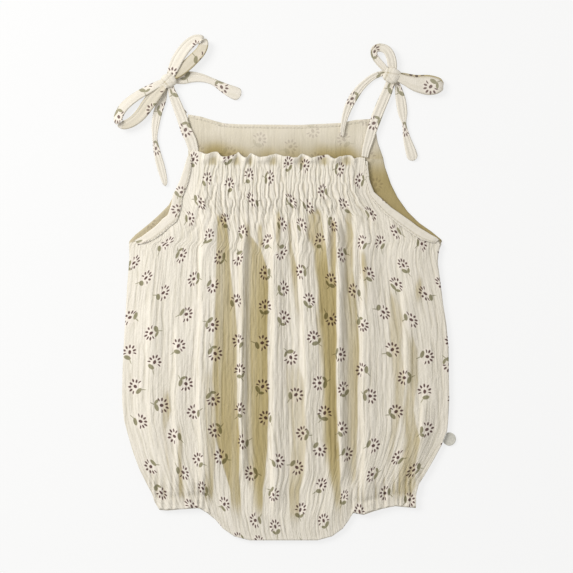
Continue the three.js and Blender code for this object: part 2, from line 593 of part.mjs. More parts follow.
// A round tab whose inner side follows the side seam that holds it
function sideTab() {
  const { x, y, radius, thick, sides } = SIDE_TAB;
  const outline = Array.from({ length: sides }, (_, i) => {
    const turn = (i / sides) * 2 * Math.PI;
    const level = y + radius * Math.sin(turn);
    return new THREE.Vector2(Math.max(x + radius * Math.cos(turn), rightEdge(level) + 2 * GAP), level);
  });
  const geometry = new THREE.ExtrudeGeometry(new THREE.Shape(outline), { depth: thick, bevelEnabled: false });
  return namedMesh('side_tab', geometry, TAB_GREY);
}

const group = new THREE.Group();
group.add(backPanel());
group.add(frontPanel());
group.add(binding('binding_left', FRONT_LEFT, LEFT_BINDING, 1));
group.add(binding('binding_right', FRONT_RIGHT, RIGHT_BINDING, -1));
for (const pieces of BOWS.map(bow)) group.add(...pieces);
group.add(sideTab());

// The origin is the middle of the underside
const box = new THREE.Box3().setFromObject(group);
const centre = box.getCenter(new THREE.Vector3());
group.position.set(-centre.x, -centre.y, -box.min.z);

export default group;
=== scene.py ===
"""A baby's sleeveless bubble romper in crinkled printed gauze, laid flat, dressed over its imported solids.

Garment sizes are in millimetres: x across, y up from the bottom of the crotch, z up from the surface.
"""
import math

import bmesh
import bpy
import numpy as np
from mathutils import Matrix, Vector


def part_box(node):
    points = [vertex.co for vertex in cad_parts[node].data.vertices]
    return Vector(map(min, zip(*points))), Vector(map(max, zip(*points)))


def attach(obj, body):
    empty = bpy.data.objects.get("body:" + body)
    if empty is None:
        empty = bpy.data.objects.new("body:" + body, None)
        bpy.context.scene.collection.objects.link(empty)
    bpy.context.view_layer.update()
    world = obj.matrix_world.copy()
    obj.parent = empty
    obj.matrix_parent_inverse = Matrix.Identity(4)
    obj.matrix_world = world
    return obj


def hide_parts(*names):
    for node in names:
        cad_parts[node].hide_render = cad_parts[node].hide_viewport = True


MM = 0.001

# Cloth and seams
BACK_THICK = 1.5
FRONT_THICK = 1.5
GAP = 0.3
SEAM_LEVEL = BACK_THICK + GAP
BINDING_THICK = 0.9
TIE_THICK = 1.7

# Levels up the front
SHIRRING_TOP = 335
SHIRRING_BOTTOM = 300
ARMHOLE_BOTTOM = 268
FOLDS_SPREAD = 30
ELASTIC_ABOVE_HEM = 10
LEFT_LEG_INNER = -66
RIGHT_LEG_INNER = 58

# Gathers and crinkle
SHIRRED_GATHERS = 42
SHIRRING_ROW = 7
HEADING_WAVES = 20
LEG_WAVE_LENGTH = 7.2
CLOTH_WIDTH = 330
CRINKLE_LENGTH = 5.2
PUFF_SIDE = 24

# Colours, as linear red, green and blue
CREAM = (0.768, 0.728, 0.651)
# The next two colours are painted shade: shaded places are darkened towards the first, and the deepest are warmed
# towards the second
PAINTED_SHADE_TINT = (0.49, 0.455, 0.35)
PAINTED_DEEP_SHADE_TINT = (0.86, 0.78, 0.5)
# Painted shade colour that the creases are darkened towards
PAINTED_CREASE_SHADE = (0.47, 0.435, 0.33)
# The ties' cream is the body's cream made darker, as painted shade for the raised ties that the key light catches more
TIE_CREAM_WITH_PAINTED_SHADE = (0.70, 0.662, 0.59)
INSIDE_CREAM = (0.63, 0.582, 0.48)
PETAL = (0.055, 0.006, 0.008)
LEAF = (0.165, 0.155, 0.06)
HALO = (0.83, 0.765, 0.70)
THREAD = (0.78, 0.74, 0.64)
TAB_GREY = (0.55, 0.54, 0.49)
FLOOR_WHITE = (0.93, 0.935, 0.94)
FRONT_LEFT = [
    (351, -86.7), (343, -89.6), (332.5, -92.7), (324, -95.5), (316, -99.3), (310.5, -102.0),
    (301.5, -103.6), (292.5, -106.6), (288.9, -111.2), (282.5, -117.5), (277.7, -123.8), (272.7, -130.6),
    (269.2, -137.3), (267.2, -141.8), (255, -141.1), (227, -143.3), (205, -144.5), (179, -146.1),
    (157, -147.2), (135, -147.7), (123, -147.5), (108, -146), (94.5, -142.3), (80, -138.2),
    (63.5, -132), (49, -124.7), (41.8, -120.6), (34.5, -118.5), (27.3, -114.4),
]
FRONT_RIGHT = [
    (344, 72.6), (333.6, 73.5), (321.6, 75.2), (312.9, 78.8), (306.9, 85.6), (299.2, 94.1),
    (293.1, 102.8), (287.1, 111.4), (281.1, 119.2), (275.5, 128.6), (272.2, 134.6), (268.4, 140.2),
    (260.7, 137), (249.8, 135.9), (233.5, 138.2), (211.7, 140.9), (195.3, 143.6), (173.5, 145.7),
    (151.7, 145.9), (126.6, 146.3), (105.8, 145.2), (98.1, 144.4), (85.1, 139.2), (73.1, 132.7),
    (60, 125), (50.2, 118.8), (41.5, 116.5), (29, 116.3),
]
FRONT_TOP = [(-87, 351), (-72, 348), (-50, 346.5), (0, 346), (45, 345), (72.6, 344)]

# The back's outline above the side seams, and its neckline as y at each x
BACK_LEFT = [
    (383, -88.6), (346, -88.2), (332.5, -91.5), (324, -94.3), (316, -98), (310.5, -101.3),
    (301.5, -105.8), (298.8, -108.5), (291.9, -115.4), (285.7, -122.3), (280.1, -129.2),
    (274.6, -136.1), (268.6, -141.6),
]
BACK_RIGHT = [
    (379, 78.6), (367.2, 80.6), (357.8, 82.1), (344, 86.9), (335.3, 88.7), (319.9, 94.1),
    (307.8, 100.2), (295.7, 108.8), (285.4, 119.2), (277.7, 130.3), (269.6, 140),
]
BACK_TOP = [
    (-88.6, 382.9), (-77.5, 381.1), (-64.4, 377.1), (-56.3, 374.9), (-41.9, 374), (12.2, 373.5),
    (48.2, 375.3), (61.7, 378), (78.6, 379),
]

# The bottom edge: y at each x, left leg hem, crotch, right leg hem
BOTTOM = [
    (-114.4, 27.3), (-107.2, 26.7), (-92.7, 27.9), (-78.3, 28.8), (-71, 24.3), (-63.8, 18.5),
    (-57, 10.5), (-47, 3.6), (-33, 0), (28, 0), (41, 3.6), (50.5, 10.5), (56.3, 18.5), (59.5, 24.5),
    (69.4, 22.8), (79.2, 26.2), (86.9, 28.4), (97.7, 30.6), (108.6, 29.5), (116.3, 29),
]

# How high the front's inner side stands over the seam level
PUFF_BY_LEVEL = [(351, 0.5), (335, 0.8), (300, 1.4), (255, 3), (150, 3.8), (60, 3.2), (0, 2.6)]
PUFF_ABOVE_HEM = [(0, 0.6), (10, 0.7), (24, 2.6), (400, 2.8)]
PUFF_ABOVE_CROTCH = [(0, 0), (22, 2.6), (400, 4)]
EDGE_INSET = [
    (351, 2), (320, 2.1), (312, 3.6), (300, 3.2), (288, 3), (276, 3.8), (269.6, 5.4), (267.6, 2.4), (266.4, 0),
]

# Folds, left to right: crest x at the top, middle and bottom, the levels it runs between, its height, and
# the width of its gentle fall to the right
FOLD_COLUMNS = ("x_top", "x_mid", "x_bottom", "y_top", "y_bottom", "height", "fall")
FOLDS = [
    (-122, -123, -120, 225, 75, 1.5, 16),
    (-99, -100, -97, 200, 50, 1.9, 15),
    (-74, -78, -76, 300, 35, 2.8, 26),
    (-38, -41, -40, 292, 50, 4.2, 7),
    (-11, -12, -12, 300, 22, 4.4, 16),
    (8, 17.5, 17, 300, 40, 3.2, 16),
    (36.5, 37, 37, 308, 238, 3, 6),
    (46, 46.5, 49, 300, 42, 5, 9),
    (60.8, 61, 61, 302, 205, 2.2, 8),
    (68, 69, 70, 290, 32, 4.2, 22),
    (104, 108, 107, 235, 130, 2.6, 14),
    (124, 121, 114, 135, 40, 2.4, 13),
]
FOLD_RISE = 3.4
FOLD_END = 26

# Painted shade in the hollows between the folds: over which share of the width the shade grows, how far the top and
# bottom ends fade, and by level, from the top down, the left and right sides and the depth of the shade
PAINTED_HOLLOW_SHADES = [
    (0.14, 10, 30, [
        (298, -62, -56, 0.6), (274, -64, -52, 0.6), (243, -64.5, -49.5, 0.56), (198, -65.5, -44.5, 0.6),
        (171, -67, -44, 0.62), (144, -68, -44, 0.68), (90, -64, -42.5, 0.74), (60, -56, -42, 0.68),
        (45, -52, -41, 0.62), (8, -49, -39, 0.42),
    ]),
    (0.5, 20, 16, [
        (165, -78, -68, 0.3), (144, -77, -64, 0.38), (90, -76, -62, 0.42), (60, -74, -65, 0.46), (45, -74.5, -65.5, 0.55),
        (28, -74, -66, 0.45),
    ]),
    (0.75, 12, 30, [
        (292, -40, -33, 0.48), (274, -40, -32, 0.52), (262, -42, -22, 0.6), (243, -43, -17, 0.7),
        (198, -42, -16.5, 0.82), (144, -41, -16.5, 0.82), (90, -40, -16.5, 0.84), (60, -38, -18, 0.78),
        (45, -34, -21, 0.7), (6, -31, -22, 0.5),
    ]),
    (0.3, 8, 8, [(288, -27, -22, 0.5), (274, -27, -22, 0.52), (258, -26, -20, 0.5)]),
    (0.3, 8, 10, [(300, -10, -6, 0.5), (274, -10, -5.5, 0.52), (252, -9, -6, 0.3)]),
    (0.5, 10, 20, [(292, 0, 4, 0.4), (274, 0, 4.5, 0.42), (243, 2, 9.5, 0.6), (225, 5, 10, 0.42), (190, 9, 14, 0.3)]),
    (0.2, 20, 24, [
        (170, -2, 8, 0.25), (144, -2, 16, 0.36), (90, 3, 18.5, 0.4), (60, 2, 16, 0.46), (45, 1.5, 12.5, 0.58),
        (4, 2, 11, 0.42),
    ]),
    (0.35, 6, 8, [
        (300, 20, 31, 0.45), (274, 16, 33.5, 0.56), (262, 23, 36, 0.66), (243, 24.5, 37.5, 0.85), (226, 26, 40, 0.84),
        (198, 27, 42, 0.86),
    ]),
    (0.5, 8, 30, [
        (292, 38, 44, 0.5), (274, 37.5, 44.5, 0.55), (243, 37.5, 45, 0.66), (225, 27, 45, 0.8), (198, 26, 44.5, 0.88),
        (144, 30.5, 45, 0.84), (90, 31, 46.2, 0.82), (60, 36, 48.6, 0.7), (45, 39, 49.5, 0.56), (10, 42, 51, 0.35),
    ]),
    (0.6, 8, 20, [
        (300, 52, 57, 0.45), (274, 51.5, 60.5, 0.58), (243, 50.5, 60, 0.5), (225, 49, 63, 0.56), (198, 48, 64, 0.48),
        (171, 50, 66, 0.56), (144, 50, 65, 0.54), (90, 50, 63.5, 0.5), (60, 54, 63, 0.4), (38, 56, 62, 0.3),
    ]),
    (0.3, 8, 10, [(264, 66, 71, 0.4), (248, 66, 72, 0.56), (225, 69, 72.5, 0.42), (205, 70, 73, 0.3)]),
    (0.4, 14, 24, [
        (230, 90, 97, 0.3), (198, 91, 105, 0.42), (171, 92, 103, 0.38), (144, 94, 107, 0.4), (117, 94, 105, 0.36),
        (90, 91, 97, 0.36), (56, 88, 92, 0.3),
    ]),
    (0.35, 20, 18, [
        (195, 105, 110, 0.3), (171, 108, 118, 0.42), (144, 108, 119, 0.42), (117, 103, 114, 0.4), (90, 105, 120, 0.52),
        (68, 101, 116, 0.5), (50, 95, 117, 0.42), (30, 93, 108, 0.45),
    ]),
    (0.4, 12, 16, [(242, 116, 123, 0.36), (225, 114, 122, 0.46), (205, 115, 121, 0.3)]),
    (0.3, 12, 14, [
        (140, -112, -107, 0.4), (117, -112, -103, 0.5), (100, -112, -108, 0.36), (68, -108, -104, 0.34),
        (50, -106, -103, 0.2),
    ]),
    (0.3, 12, 12, [(110, -98.5, -95, 0.3), (90, -98, -93.5, 0.46), (50, -97.5, -93.5, 0.5), (32, -97, -94, 0.35)]),
]

LEFT_BINDING = [(346, 4.6), (332, 7), (310, 9), (292, 10), (277, 8.8), (269.8, 5)]
RIGHT_BINDING = [(341, 1.6), (330, 3), (318, 4.4), (307, 7), (290, 9), (277, 8.4), (270.4, 5)]
KNOTS = {
    "left": {"x": -105.8, "y": 413.3, "z": 3.4, "across": (15, 14), "height": 7.4, "turn": 32},
    "right": {"x": 94.7, "y": 417.8, "z": 3.8, "across": (17, 15.5), "height": 8.4, "turn": -28},
}
# In a loop, the entry of three numbers before its rows gives the share of its length where painted shade on its inner
# band starts and ends, and the shade's depth
STRIPS = {
    "loop_upper_left": {
        "flower_at": 6, "axis": (135, -12), "end": "object", "painted_shade": (0.56, 1.01, 0.34), "rows": [
            (-105, 415, 4.2, 6), (-102.6, 421.4, 4.2, 9), (-98, 432, 3.8, 10.8), (-91, 442.4, 3.8, 10.6),
            (-83.4, 449.2, 3.8, 9.6), (-77, 450.2, 4, 8.6), (-74.4, 446.4, 4.2, 8.8), (-77, 439.6, 4.4, 9.6),
            (-83.6, 432.4, 4.4, 10.4), (-90.6, 425.8, 4.2, 10.4), (-97.2, 419.6, 4, 8), (-101.4, 416.2, 3.8, 5),
        ],
    },
    "loop_lower_left": {
        "flower_at": 58, "axis": (130, -11), "end": "object", "painted_shade": (0.52, 0.95, 0.3), "rows": [
            (-107, 412.8, 3.4, 5), (-113.6, 410.6, 3.4, 6.4), (-122.9, 405.8, 3.4, 7.8), (-134.6, 399.2, 3.4, 8.4),
            (-145, 390.8, 3.6, 8.8), (-150.6, 382, 3.8, 8.4), (-150.6, 375.6, 4, 8.2), (-145.8, 373.4, 4, 8.4),
            (-138.6, 376.2, 3.8, 9.6), (-131.2, 382.6, 3.6, 11), (-125.2, 390.8, 3.4, 12), (-119.4, 398.6, 3.8, 12),
            (-112.4, 406, 4.2, 8.6), (-107.6, 411, 4.2, 5),
        ],
    },
    "tail_down_left": {
        "flower_at": 62, "axis": None, "end": "bare", "round_end": 3, "rows": [
            (-107.2, 411, 1, 3.6), (-109.2, 405, 1, 4.8), (-111.8, 396, 1, 7.2), (-115.4, 386, 1, 8),
            (-117.9, 373.5, 1, 7), (-118.4, 361, 1, 4.6), (-116.4, 349.2, 1, 6.2), (-113.2, 336.6, 1, 7.2),
            (-110.4, 326, 1, 6), (-108.9, 318.6, 1, 3.6),
        ],
    },
    "tail_side_left": {
        "flower_at": 49, "axis": None, "end": "bare", "round_end": 4, "rows": [
            (-103.4, 413.6, 1, 5), (-98.2, 414.6, 1, 8.6), (-92.2, 415.8, 1, 11), (-85.2, 416.6, 1, 10),
            (-75.5, 415.6, 1, 7.4), (-65.7, 412.2, 1, 6), (-56.2, 406.8, 1, 9), (-48.1, 402.8, 1, 11.4),
            (-41, 400, 1, 11.4),
        ],
    },
    "strap_front_left": {
        "flower_at": 46, "axis": None, "end": "object", "rows": [
            (-104.6, 411, 3, 4.6), (-103.6, 405, 3, 6), (-101.6, 399.6, 3, 7.8), (-97.4, 388.8, 2.8, 9),
            (-93.6, 379, 2.7, 9.6), (-89.8, 368, 2.7, 10), (-86, 360, 2.6, 10), (-83.8, 352.4, 2.3, 9.4),
            (-83, 347.6, 1.8, 8),
        ],
    },
    "strap_back_left": {
        "flower_at": 90, "axis": None, "end": "object", "rows": [
            (-104.4, 411, 1, 4.4), (-102.4, 403, 1, 5.4), (-98.8, 392, 1, 6.2), (-92, 382.6, 1, 6.6),
        ],
    },
    "loop_upper_right": {
        "flower_at": 26, "axis": None, "end": "object", "painted_shade": (0.36, 0.56, 0.25), "rows": [
            (92, 420, 4.4, 5), (87, 425.4, 4.4, 6), (82, 431, 4, 6.2), (78.8, 436.6, 3.6, 6),
            (79.6, 441.2, 3.8, 6.6), (84.2, 442.8, 4, 7.4), (89.8, 440.8, 4.2, 8), (93.4, 435.4, 4.2, 8.4),
            (95, 428, 3.8, 8.6), (95.4, 421, 3, 7),
        ],
    },
    "loop_side_right": {
        "flower_at": 57, "axis": (86, 4), "end": "object", "painted_shade": (-0.1, 0.42, 0.4), "rows": [
            (98, 418.4, 1.8, 5), (106, 416.2, 1.5, 8), (116, 412.6, 1.3, 12), (127, 410.8, 1.2, 15.4), (135.4, 409.8, 1.4, 13.4),
            (138.8, 408.8, 2.2, 9.6), (140.2, 408.2, 3.2, 7.2), (138.8, 408, 4.2, 9.8), (135.6, 408, 4.7, 13.6),
            (130.6, 408.2, 4.8, 16), (124.6, 408.6, 4.8, 16), (116, 409.8, 4.9, 12.8), (107, 413.2, 5.2, 9.2),
            (98, 417, 5.4, 7),
        ],
    },
    "tail_left_right": {
        "flower_at": 42, "axis": None, "end": "bare", "round_end": 3, "rows": [
            (90, 420.6, 1, 4), (85, 419.6, 1, 5), (77, 416.2, 1, 5.6), (68, 408.6, 1, 6.6), (61.2, 399.8, 1.3, 7.8),
            (56.4, 391, 2, 7.4), (53, 381.6, 2.7, 6), (50.9, 372, 2.7, 4.4), (50, 362.6, 2.6, 3.2),
        ],
    },
    "tail_down_right": {
        "flower_at": 47, "axis": None, "end": "bare", "round_end": 5, "rows": [
            (98, 413.6, 1, 4), (100.2, 407.6, 1, 5.8), (102.8, 396, 1, 9), (104.6, 384, 1, 8.4), (106, 374, 1, 3.8),
            (108.2, 362, 1, 6.6), (111.8, 350, 1, 9.4), (114.4, 341.4, 1, 10),
        ],
    },
    "strap_front_right": {
        "flower_at": 44, "axis": None, "end": "object", "rows": [
            (94.6, 414, 3, 7), (91.4, 405, 3, 8.4), (89, 399.6, 3, 9), (84.4, 388.8, 2.8, 9.2), (80.2, 378, 2.7, 9.2),
            (76.4, 367.5, 2.7, 9), (73.6, 358, 2.6, 8.2), (71.6, 351, 2.2, 7.2), (70.4, 344.6, 1.8, 6.2),
        ],
    },
    "strap_back_right": {
        "flower_at": 90, "axis": None, "end": "object", "rows": [
            (93, 414, 1, 5), (89.8, 405, 1, 6), (84.6, 393.6, 1, 6.4), (79.2, 380, 1, 6.6),
        ],
    },
}
SIDE_TAB = {"x": 146.4, "y": 90.9, "radius": 6, "thick": 1.2}

# The photograph: 573 pixels a side at 0.9 mm a pixel, its bottom of the crotch at pixel row 540
PHOTO_SIDE = 573
PIXEL_MM = 0.9
CROTCH_ROW = 540
CAMERA_HEIGHT = 2.4

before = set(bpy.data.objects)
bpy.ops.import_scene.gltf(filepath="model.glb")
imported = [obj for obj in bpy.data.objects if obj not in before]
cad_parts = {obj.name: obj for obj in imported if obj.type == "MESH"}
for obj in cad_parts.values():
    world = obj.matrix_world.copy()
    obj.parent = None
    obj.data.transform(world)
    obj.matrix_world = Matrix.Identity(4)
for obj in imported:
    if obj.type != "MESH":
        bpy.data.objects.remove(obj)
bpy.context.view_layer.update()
SHIFT_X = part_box("back_panel")[1].x / MM - 146.3
SHIFT_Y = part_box("back_panel")[0].y / MM


# Small tools

def along(table, at):
    """The second column of the table where its first is at, straight between the rows."""
    rows = sorted(table)
    return np.interp(at, [row[0] for row in rows], [row[1] for row in rows])


def smoothstep(value, low, high):
    t = np.clip((value - low) / (high - low), 0, 1)
    return t * t * (3 - 2 * t)


def lerp(a, b, t):
    return a + (b - a) * t


def wander(u, v, seed=0.0):
    """A smooth uneven wave from -1 to 1, the same in each run."""
    return (
        0.5 * np.sin(u * 0.9 + v * 0.31 + seed * 1.7 + 1.3 * np.sin(v * 0.57 + seed))
        + 0.3 * np.sin(u * 1.9 - v * 0.73 + seed * 2.9 + 1.1 * np.sin(u * 0.41 + seed))
        + 0.2 * np.sin(u * 3.7 + v * 1.37 + seed * 4.1)
    )


def mesh_piece(name, points, faces, material, uvs=None, shades=None, smooth=True, threads=None):
    """A mesh object from garment points in mm: a point has its cloth coordinates and its thread across, and its painted
    shade.
    """
    mesh = bpy.data.meshes.new(name)
    placed = (np.asarray(points, float) + (SHIFT_X, SHIFT_Y, 0)) * MM
    mesh.from_pydata(placed.tolist(), [], faces)
    mesh.update()
    corners = np.empty(len(mesh.loops), int)
    mesh.loops.foreach_get("vertex_index", corners)
    if uvs is not None:
        layer = mesh.uv_layers.new(name="cloth")
        layer.data.foreach_set("uv", (np.asarray(uvs, float)[corners] * 0.01).ravel())
        layer = mesh.attributes.new("thread", "FLOAT", "POINT")
        threads = np.asarray(uvs, float)[:, 0] if threads is None else threads
        layer.data.foreach_set("value", np.asarray(threads, np.float32))
    if shades is not None:
        layer = mesh.attributes.new("painted_shade", "FLOAT", "POINT")
        layer.data.foreach_set("value", np.asarray(shades, np.float32))
    mesh.polygons.foreach_set("use_smooth", [smooth] * len(mesh.polygons))
    mesh.materials.append(material)
    piece = bpy.data.objects.new(name, mesh)
    bpy.context.scene.collection.objects.link(piece)
    return piece


def fix_normals(piece):
    form = bmesh.new()
    form.from_mesh(piece.data)
    bmesh.ops.recalc_face_normals(form, faces=form.faces)
    form.to_mesh(piece.data)
    form.free()


def dress(piece, slot, *nodes):
    """The piece rides on the one body and stands for the nodes; the slot is not used."""
    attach(piece, "root")
    if nodes:
        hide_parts(*nodes)
    return piece


def grid_faces(rows, columns, start=0, turned=False):
    index = start + np.arange(rows * columns).reshape(rows, columns)
    quads = np.stack([index[:-1, :-1], index[1:, :-1], index[1:, 1:], index[:-1, 1:]], -1).reshape(-1, 4)
    return (quads[:, ::-1] if turned else quads).tolist()


def grid_rim(rows, columns, start=0):
    """The numbers round a grid's edge, with each one's place round it from 0 to 4."""
    index = start + np.arange(rows * columns).reshape(rows, columns)
    across = np.linspace(0, 1, columns)
    down = np.linspace(0, 1, rows)
    sides = [
        zip(index[0, :-1], across[:-1]), zip(index[:-1, -1], 1 + down[:-1]),
        zip(index[-1, :0:-1], 2 + across[:-1]), zip(index[:0:-1, 0], 3 + down[:-1]),
    ]
    rim = [(int(i), float(place)) for side in sides for i, place in side]
    return rim + [(rim[0][0], 4.0)]


def zip_rims(a, b):
    """Triangles between two rims."""
    faces = []
    p = q = 0
    while p < len(a) - 1 or q < len(b) - 1:
        on_a = q == len(b) - 1 or (p < len(a) - 1 and a[p + 1][1] <= b[q + 1][1] + 1e-9)
        faces.append((a[p][0], a[p + 1][0], b[q][0]) if on_a else (a[p][0], b[q + 1][0], b[q][0]))
        p, q = (p + 1, q) if on_a else (p, q + 1)
    return faces


def cloth_piece(name, upper, lower, upper_gauze, lower_gauze):
    """A closed thin piece from an upper and a lower grid, each a dict of points, uvs, threads and shades."""
    parts = [upper, lower]
    shape = [part["points"].shape[:2] for part in parts]
    start = [0, shape[0][0] * shape[0][1]]
    faces = grid_faces(*shape[0], start[0]) + grid_faces(*shape[1], start[1], turned=True)
    faces += zip_rims(grid_rim(*shape[0], start[0]), grid_rim(*shape[1], start[1]))
    points = np.concatenate([part["points"].reshape(-1, 3) for part in parts])
    uvs = np.concatenate([part["uvs"].reshape(-1, 2) for part in parts])
    shades = np.concatenate([part["shades"].ravel() for part in parts])
    threads = np.concatenate([part["threads"].ravel() for part in parts])
    piece = mesh_piece(name, points, faces, upper_gauze, uvs, shades, threads=threads)
    piece.data.materials.append(lower_gauze)
    upper_faces, lower_faces = ((rows - 1) * (columns - 1) for rows, columns in shape)
    slots = np.zeros(len(faces), np.int32)
    slots[upper_faces:upper_faces + lower_faces] = 1
    piece.data.polygons.foreach_set("material_index", slots)
    return piece


# Materials

class Maker:
    """Adds nodes to one material and joins them."""

    def __init__(self, name):
        self.material = bpy.data.materials.new(name)
        self.material.use_nodes = True
        self.tree = self.material.node_tree
        self.shader = self.tree.nodes["Principled BSDF"]

    def node(self, kind, **values):
        node = self.tree.nodes.new(kind)
        for key, value in values.items():
            setattr(node, key, value)
        return node

    def put(self, socket, value):
        if isinstance(value, bpy.types.NodeSocket):
            self.tree.links.new(value, socket)
        elif value is not None:
            socket.default_value = value

    def math(self, operation, *values, clamp=False):
        node = self.node("ShaderNodeMath", operation=operation, use_clamp=clamp)
        for socket, value in zip(node.inputs, values):
            self.put(socket, value)
        return node.outputs[0]

    def ramp(self, value, low, high):
        """0 at low, 1 at high, smooth between; low may be the greater."""
        node = self.node("ShaderNodeMapRange", interpolation_type="SMOOTHSTEP")
        for socket, given in zip(node.inputs, (value, low, high, 0.0, 1.0)):
            self.put(socket, given)
        return node.outputs[0]

    def mix(self, share, a, b, blend="MIX"):
        node = self.node("ShaderNodeMix", data_type="RGBA", blend_type=blend)
        self.put(node.inputs["Factor"], share)
        for socket, value in ((node.inputs[6], a), (node.inputs[7], b)):
            self.put(socket, (*value, 1.0) if isinstance(value, tuple) else value)
        return node.outputs[2]

    def noise(self, vector, scale, detail=2.0, kind="ShaderNodeTexNoise"):
        node = self.node(kind)
        self.put(node.inputs["Vector"], vector)
        node.inputs["Scale"].default_value = scale
        node.inputs["Detail"].default_value = detail
        return node.outputs[0]

    def combine(self, x, y, z=0.0):
        node = self.node("ShaderNodeCombineXYZ")
        for socket, value in zip(node.inputs, (x, y, z)):
            self.put(socket, value)
        return node.outputs[0]

    def split(self, vector):
        node = self.node("ShaderNodeSeparateXYZ")
        self.put(node.inputs[0], vector)
        return node.outputs[:3]

    def cloth_mm(self):
        """The cloth coordinates in millimetres."""
        node = self.node("ShaderNodeUVMap", uv_map="cloth")
        scale = self.node("ShaderNodeVectorMath", operation="SCALE")
        self.put(scale.inputs[0], node.outputs[0])
        scale.inputs["Scale"].default_value = 100.0
        return scale.outputs[0]


def ellipse(m, x, y, centre, turn, half_long, half_wide):
    """A soft-edged leaf shape, long side along the turned x."""
    cos, sin = math.cos(math.radians(turn)), math.sin(math.radians(turn))
    dx, dy = m.math("SUBTRACT", x, centre[0]), m.math("SUBTRACT", y, centre[1])
    a = m.math("DIVIDE", m.math("ADD", m.math("MULTIPLY", dx, cos), m.math("MULTIPLY", dy, sin)), half_long)
    b = m.math("DIVIDE", m.math("SUBTRACT", m.math("MULTIPLY", dy, cos), m.math("MULTIPLY", dx, sin)), half_wide)
    apart = m.math("SQRT", m.math("ADD", m.math("MULTIPLY", a, a), m.math("MULTIPLY", b, b)))
    return m.ramp(apart, 1.12, 0.82)


PRINT_ACROSS = 31.0
PRINT_DOWN = 28.5
PRINT_SHIFT = 12.0
PRINT_SLANT = 23.0
PETALS_APART = 35.0
PETAL_FAN = 108.0
FLOWER_SIZE = 1.14


def flower_print(m, ground, strength):
    """Small daisies with a leaf or two and a stem, one a cell of a staggered grid, each shifted and turned."""
    slanted = m.node("ShaderNodeVectorRotate", rotation_type="Z_AXIS")
    m.put(slanted.inputs["Vector"], m.cloth_mm())
    slanted.inputs["Angle"].default_value = math.radians(PRINT_SLANT)
    u, v, _ = m.split(slanted.outputs[0])
    row = m.math("FLOOR", m.math("DIVIDE", v, PRINT_DOWN))
    stagger = m.math("MULTIPLY", m.math("FLOORED_MODULO", row, 2.0), PRINT_ACROSS / 2)
    slid = m.math("ADD", u, stagger)
    column = m.math("FLOOR", m.math("DIVIDE", slid, PRINT_ACROSS))
    chance = m.node("ShaderNodeTexWhiteNoise", noise_dimensions="3D")
    m.put(chance.inputs["Vector"], m.combine(column, row, 3.7))
    one, two, three = m.split(chance.outputs["Color"])
    other = m.node("ShaderNodeTexWhiteNoise", noise_dimensions="3D")
    m.put(other.inputs["Vector"], m.combine(column, row, 8.2))
    kind, side, fan_turn = m.split(other.outputs["Color"])
    middle_u = m.math("MULTIPLY", m.math("ADD", column, 0.5), PRINT_ACROSS)
    middle_v = m.math("MULTIPLY", m.math("ADD", row, 0.5), PRINT_DOWN)
    shift_u = m.math("MULTIPLY", m.math("SUBTRACT", one, 0.5), PRINT_SHIFT)
    shift_v = m.math("MULTIPLY", m.math("SUBTRACT", two, 0.5), PRINT_SHIFT)
    du = m.math("SUBTRACT", m.math("SUBTRACT", slid, middle_u), shift_u)
    dv = m.math("SUBTRACT", m.math("SUBTRACT", v, middle_v), shift_v)
    turned = m.node("ShaderNodeVectorRotate", rotation_type="Z_AXIS")
    m.put(turned.inputs["Vector"], m.combine(du, dv))
    m.put(turned.inputs["Angle"], m.math("MULTIPLY", m.math("SUBTRACT", three, 0.5), 4.9))
    x, y, _ = m.split(turned.outputs[0])
    mirrored = m.math("SUBTRACT", 1.0, m.math("MULTIPLY", m.math("GREATER_THAN", side, 0.5), 2.0))
    x = m.math("DIVIDE", m.math("MULTIPLY", x, mirrored), FLOWER_SIZE)
    y = m.math("DIVIDE", y, FLOWER_SIZE)
    far = m.math("SQRT", m.math("ADD", m.math("MULTIPLY", x, x), m.math("MULTIPLY", y, y)))
    angle = m.math("ARCTAN2", x, y)
    apart = math.radians(PETALS_APART)
    shifted = m.math("ADD", angle, m.math("MULTIPLY", m.math("SUBTRACT", fan_turn, 0.5), 0.5))
    number = m.math("ROUND", m.math("DIVIDE", shifted, apart))
    off = m.math("MULTIPLY", m.math("SUBTRACT", shifted, m.math("MULTIPLY", number, apart)), far)
    petal_chance = m.node("ShaderNodeTexWhiteNoise", noise_dimensions="3D")
    m.put(petal_chance.inputs["Vector"], m.combine(column, row, number))
    reach = m.math("ADD", 4.2, m.math("MULTIPLY", petal_chance.outputs["Value"], 0.9))
    a = m.math("DIVIDE", off, 0.9)
    b = m.math("DIVIDE", m.math("SUBTRACT", far, reach), 1.55)
    petal = m.ramp(m.math("SQRT", m.math("ADD", m.math("MULTIPLY", a, a), m.math("MULTIPLY", b, b))), 1.18, 0.66)
    fan = m.math("LESS_THAN", m.math("ABSOLUTE", shifted), math.radians(PETAL_FAN))
    petal = m.math("MULTIPLY", petal, fan)
    centre = ellipse(m, x, y, (0, 0.1), 90, 1.7, 1.3)
    dark = m.math("MAXIMUM", petal, centre)
    leaf = ellipse(m, x, y, (-1.5, -4.3), -16, 3.1, 1.7)
    second = m.math("MULTIPLY", ellipse(m, x, y, (2.9, -4.2), 42, 2.5, 1.2), m.math("GREATER_THAN", kind, 0.45))
    stem = m.math("MULTIPLY", ellipse(m, x, y, (1.2, -6.8), -62, 3.0, 0.42), 0.8)
    leaf = m.math("MAXIMUM", m.math("MAXIMUM", leaf, second), stem)
    halo = m.math("MULTIPLY", m.ramp(far, 7.4, 5.2), 0.5 * strength)
    colour = m.mix(halo, ground, HALO)
    colour = m.mix(m.math("MULTIPLY", leaf, 0.88 * strength), colour, LEAF)
    return m.mix(m.math("MULTIPLY", dark, 0.96 * strength), colour, PETAL)


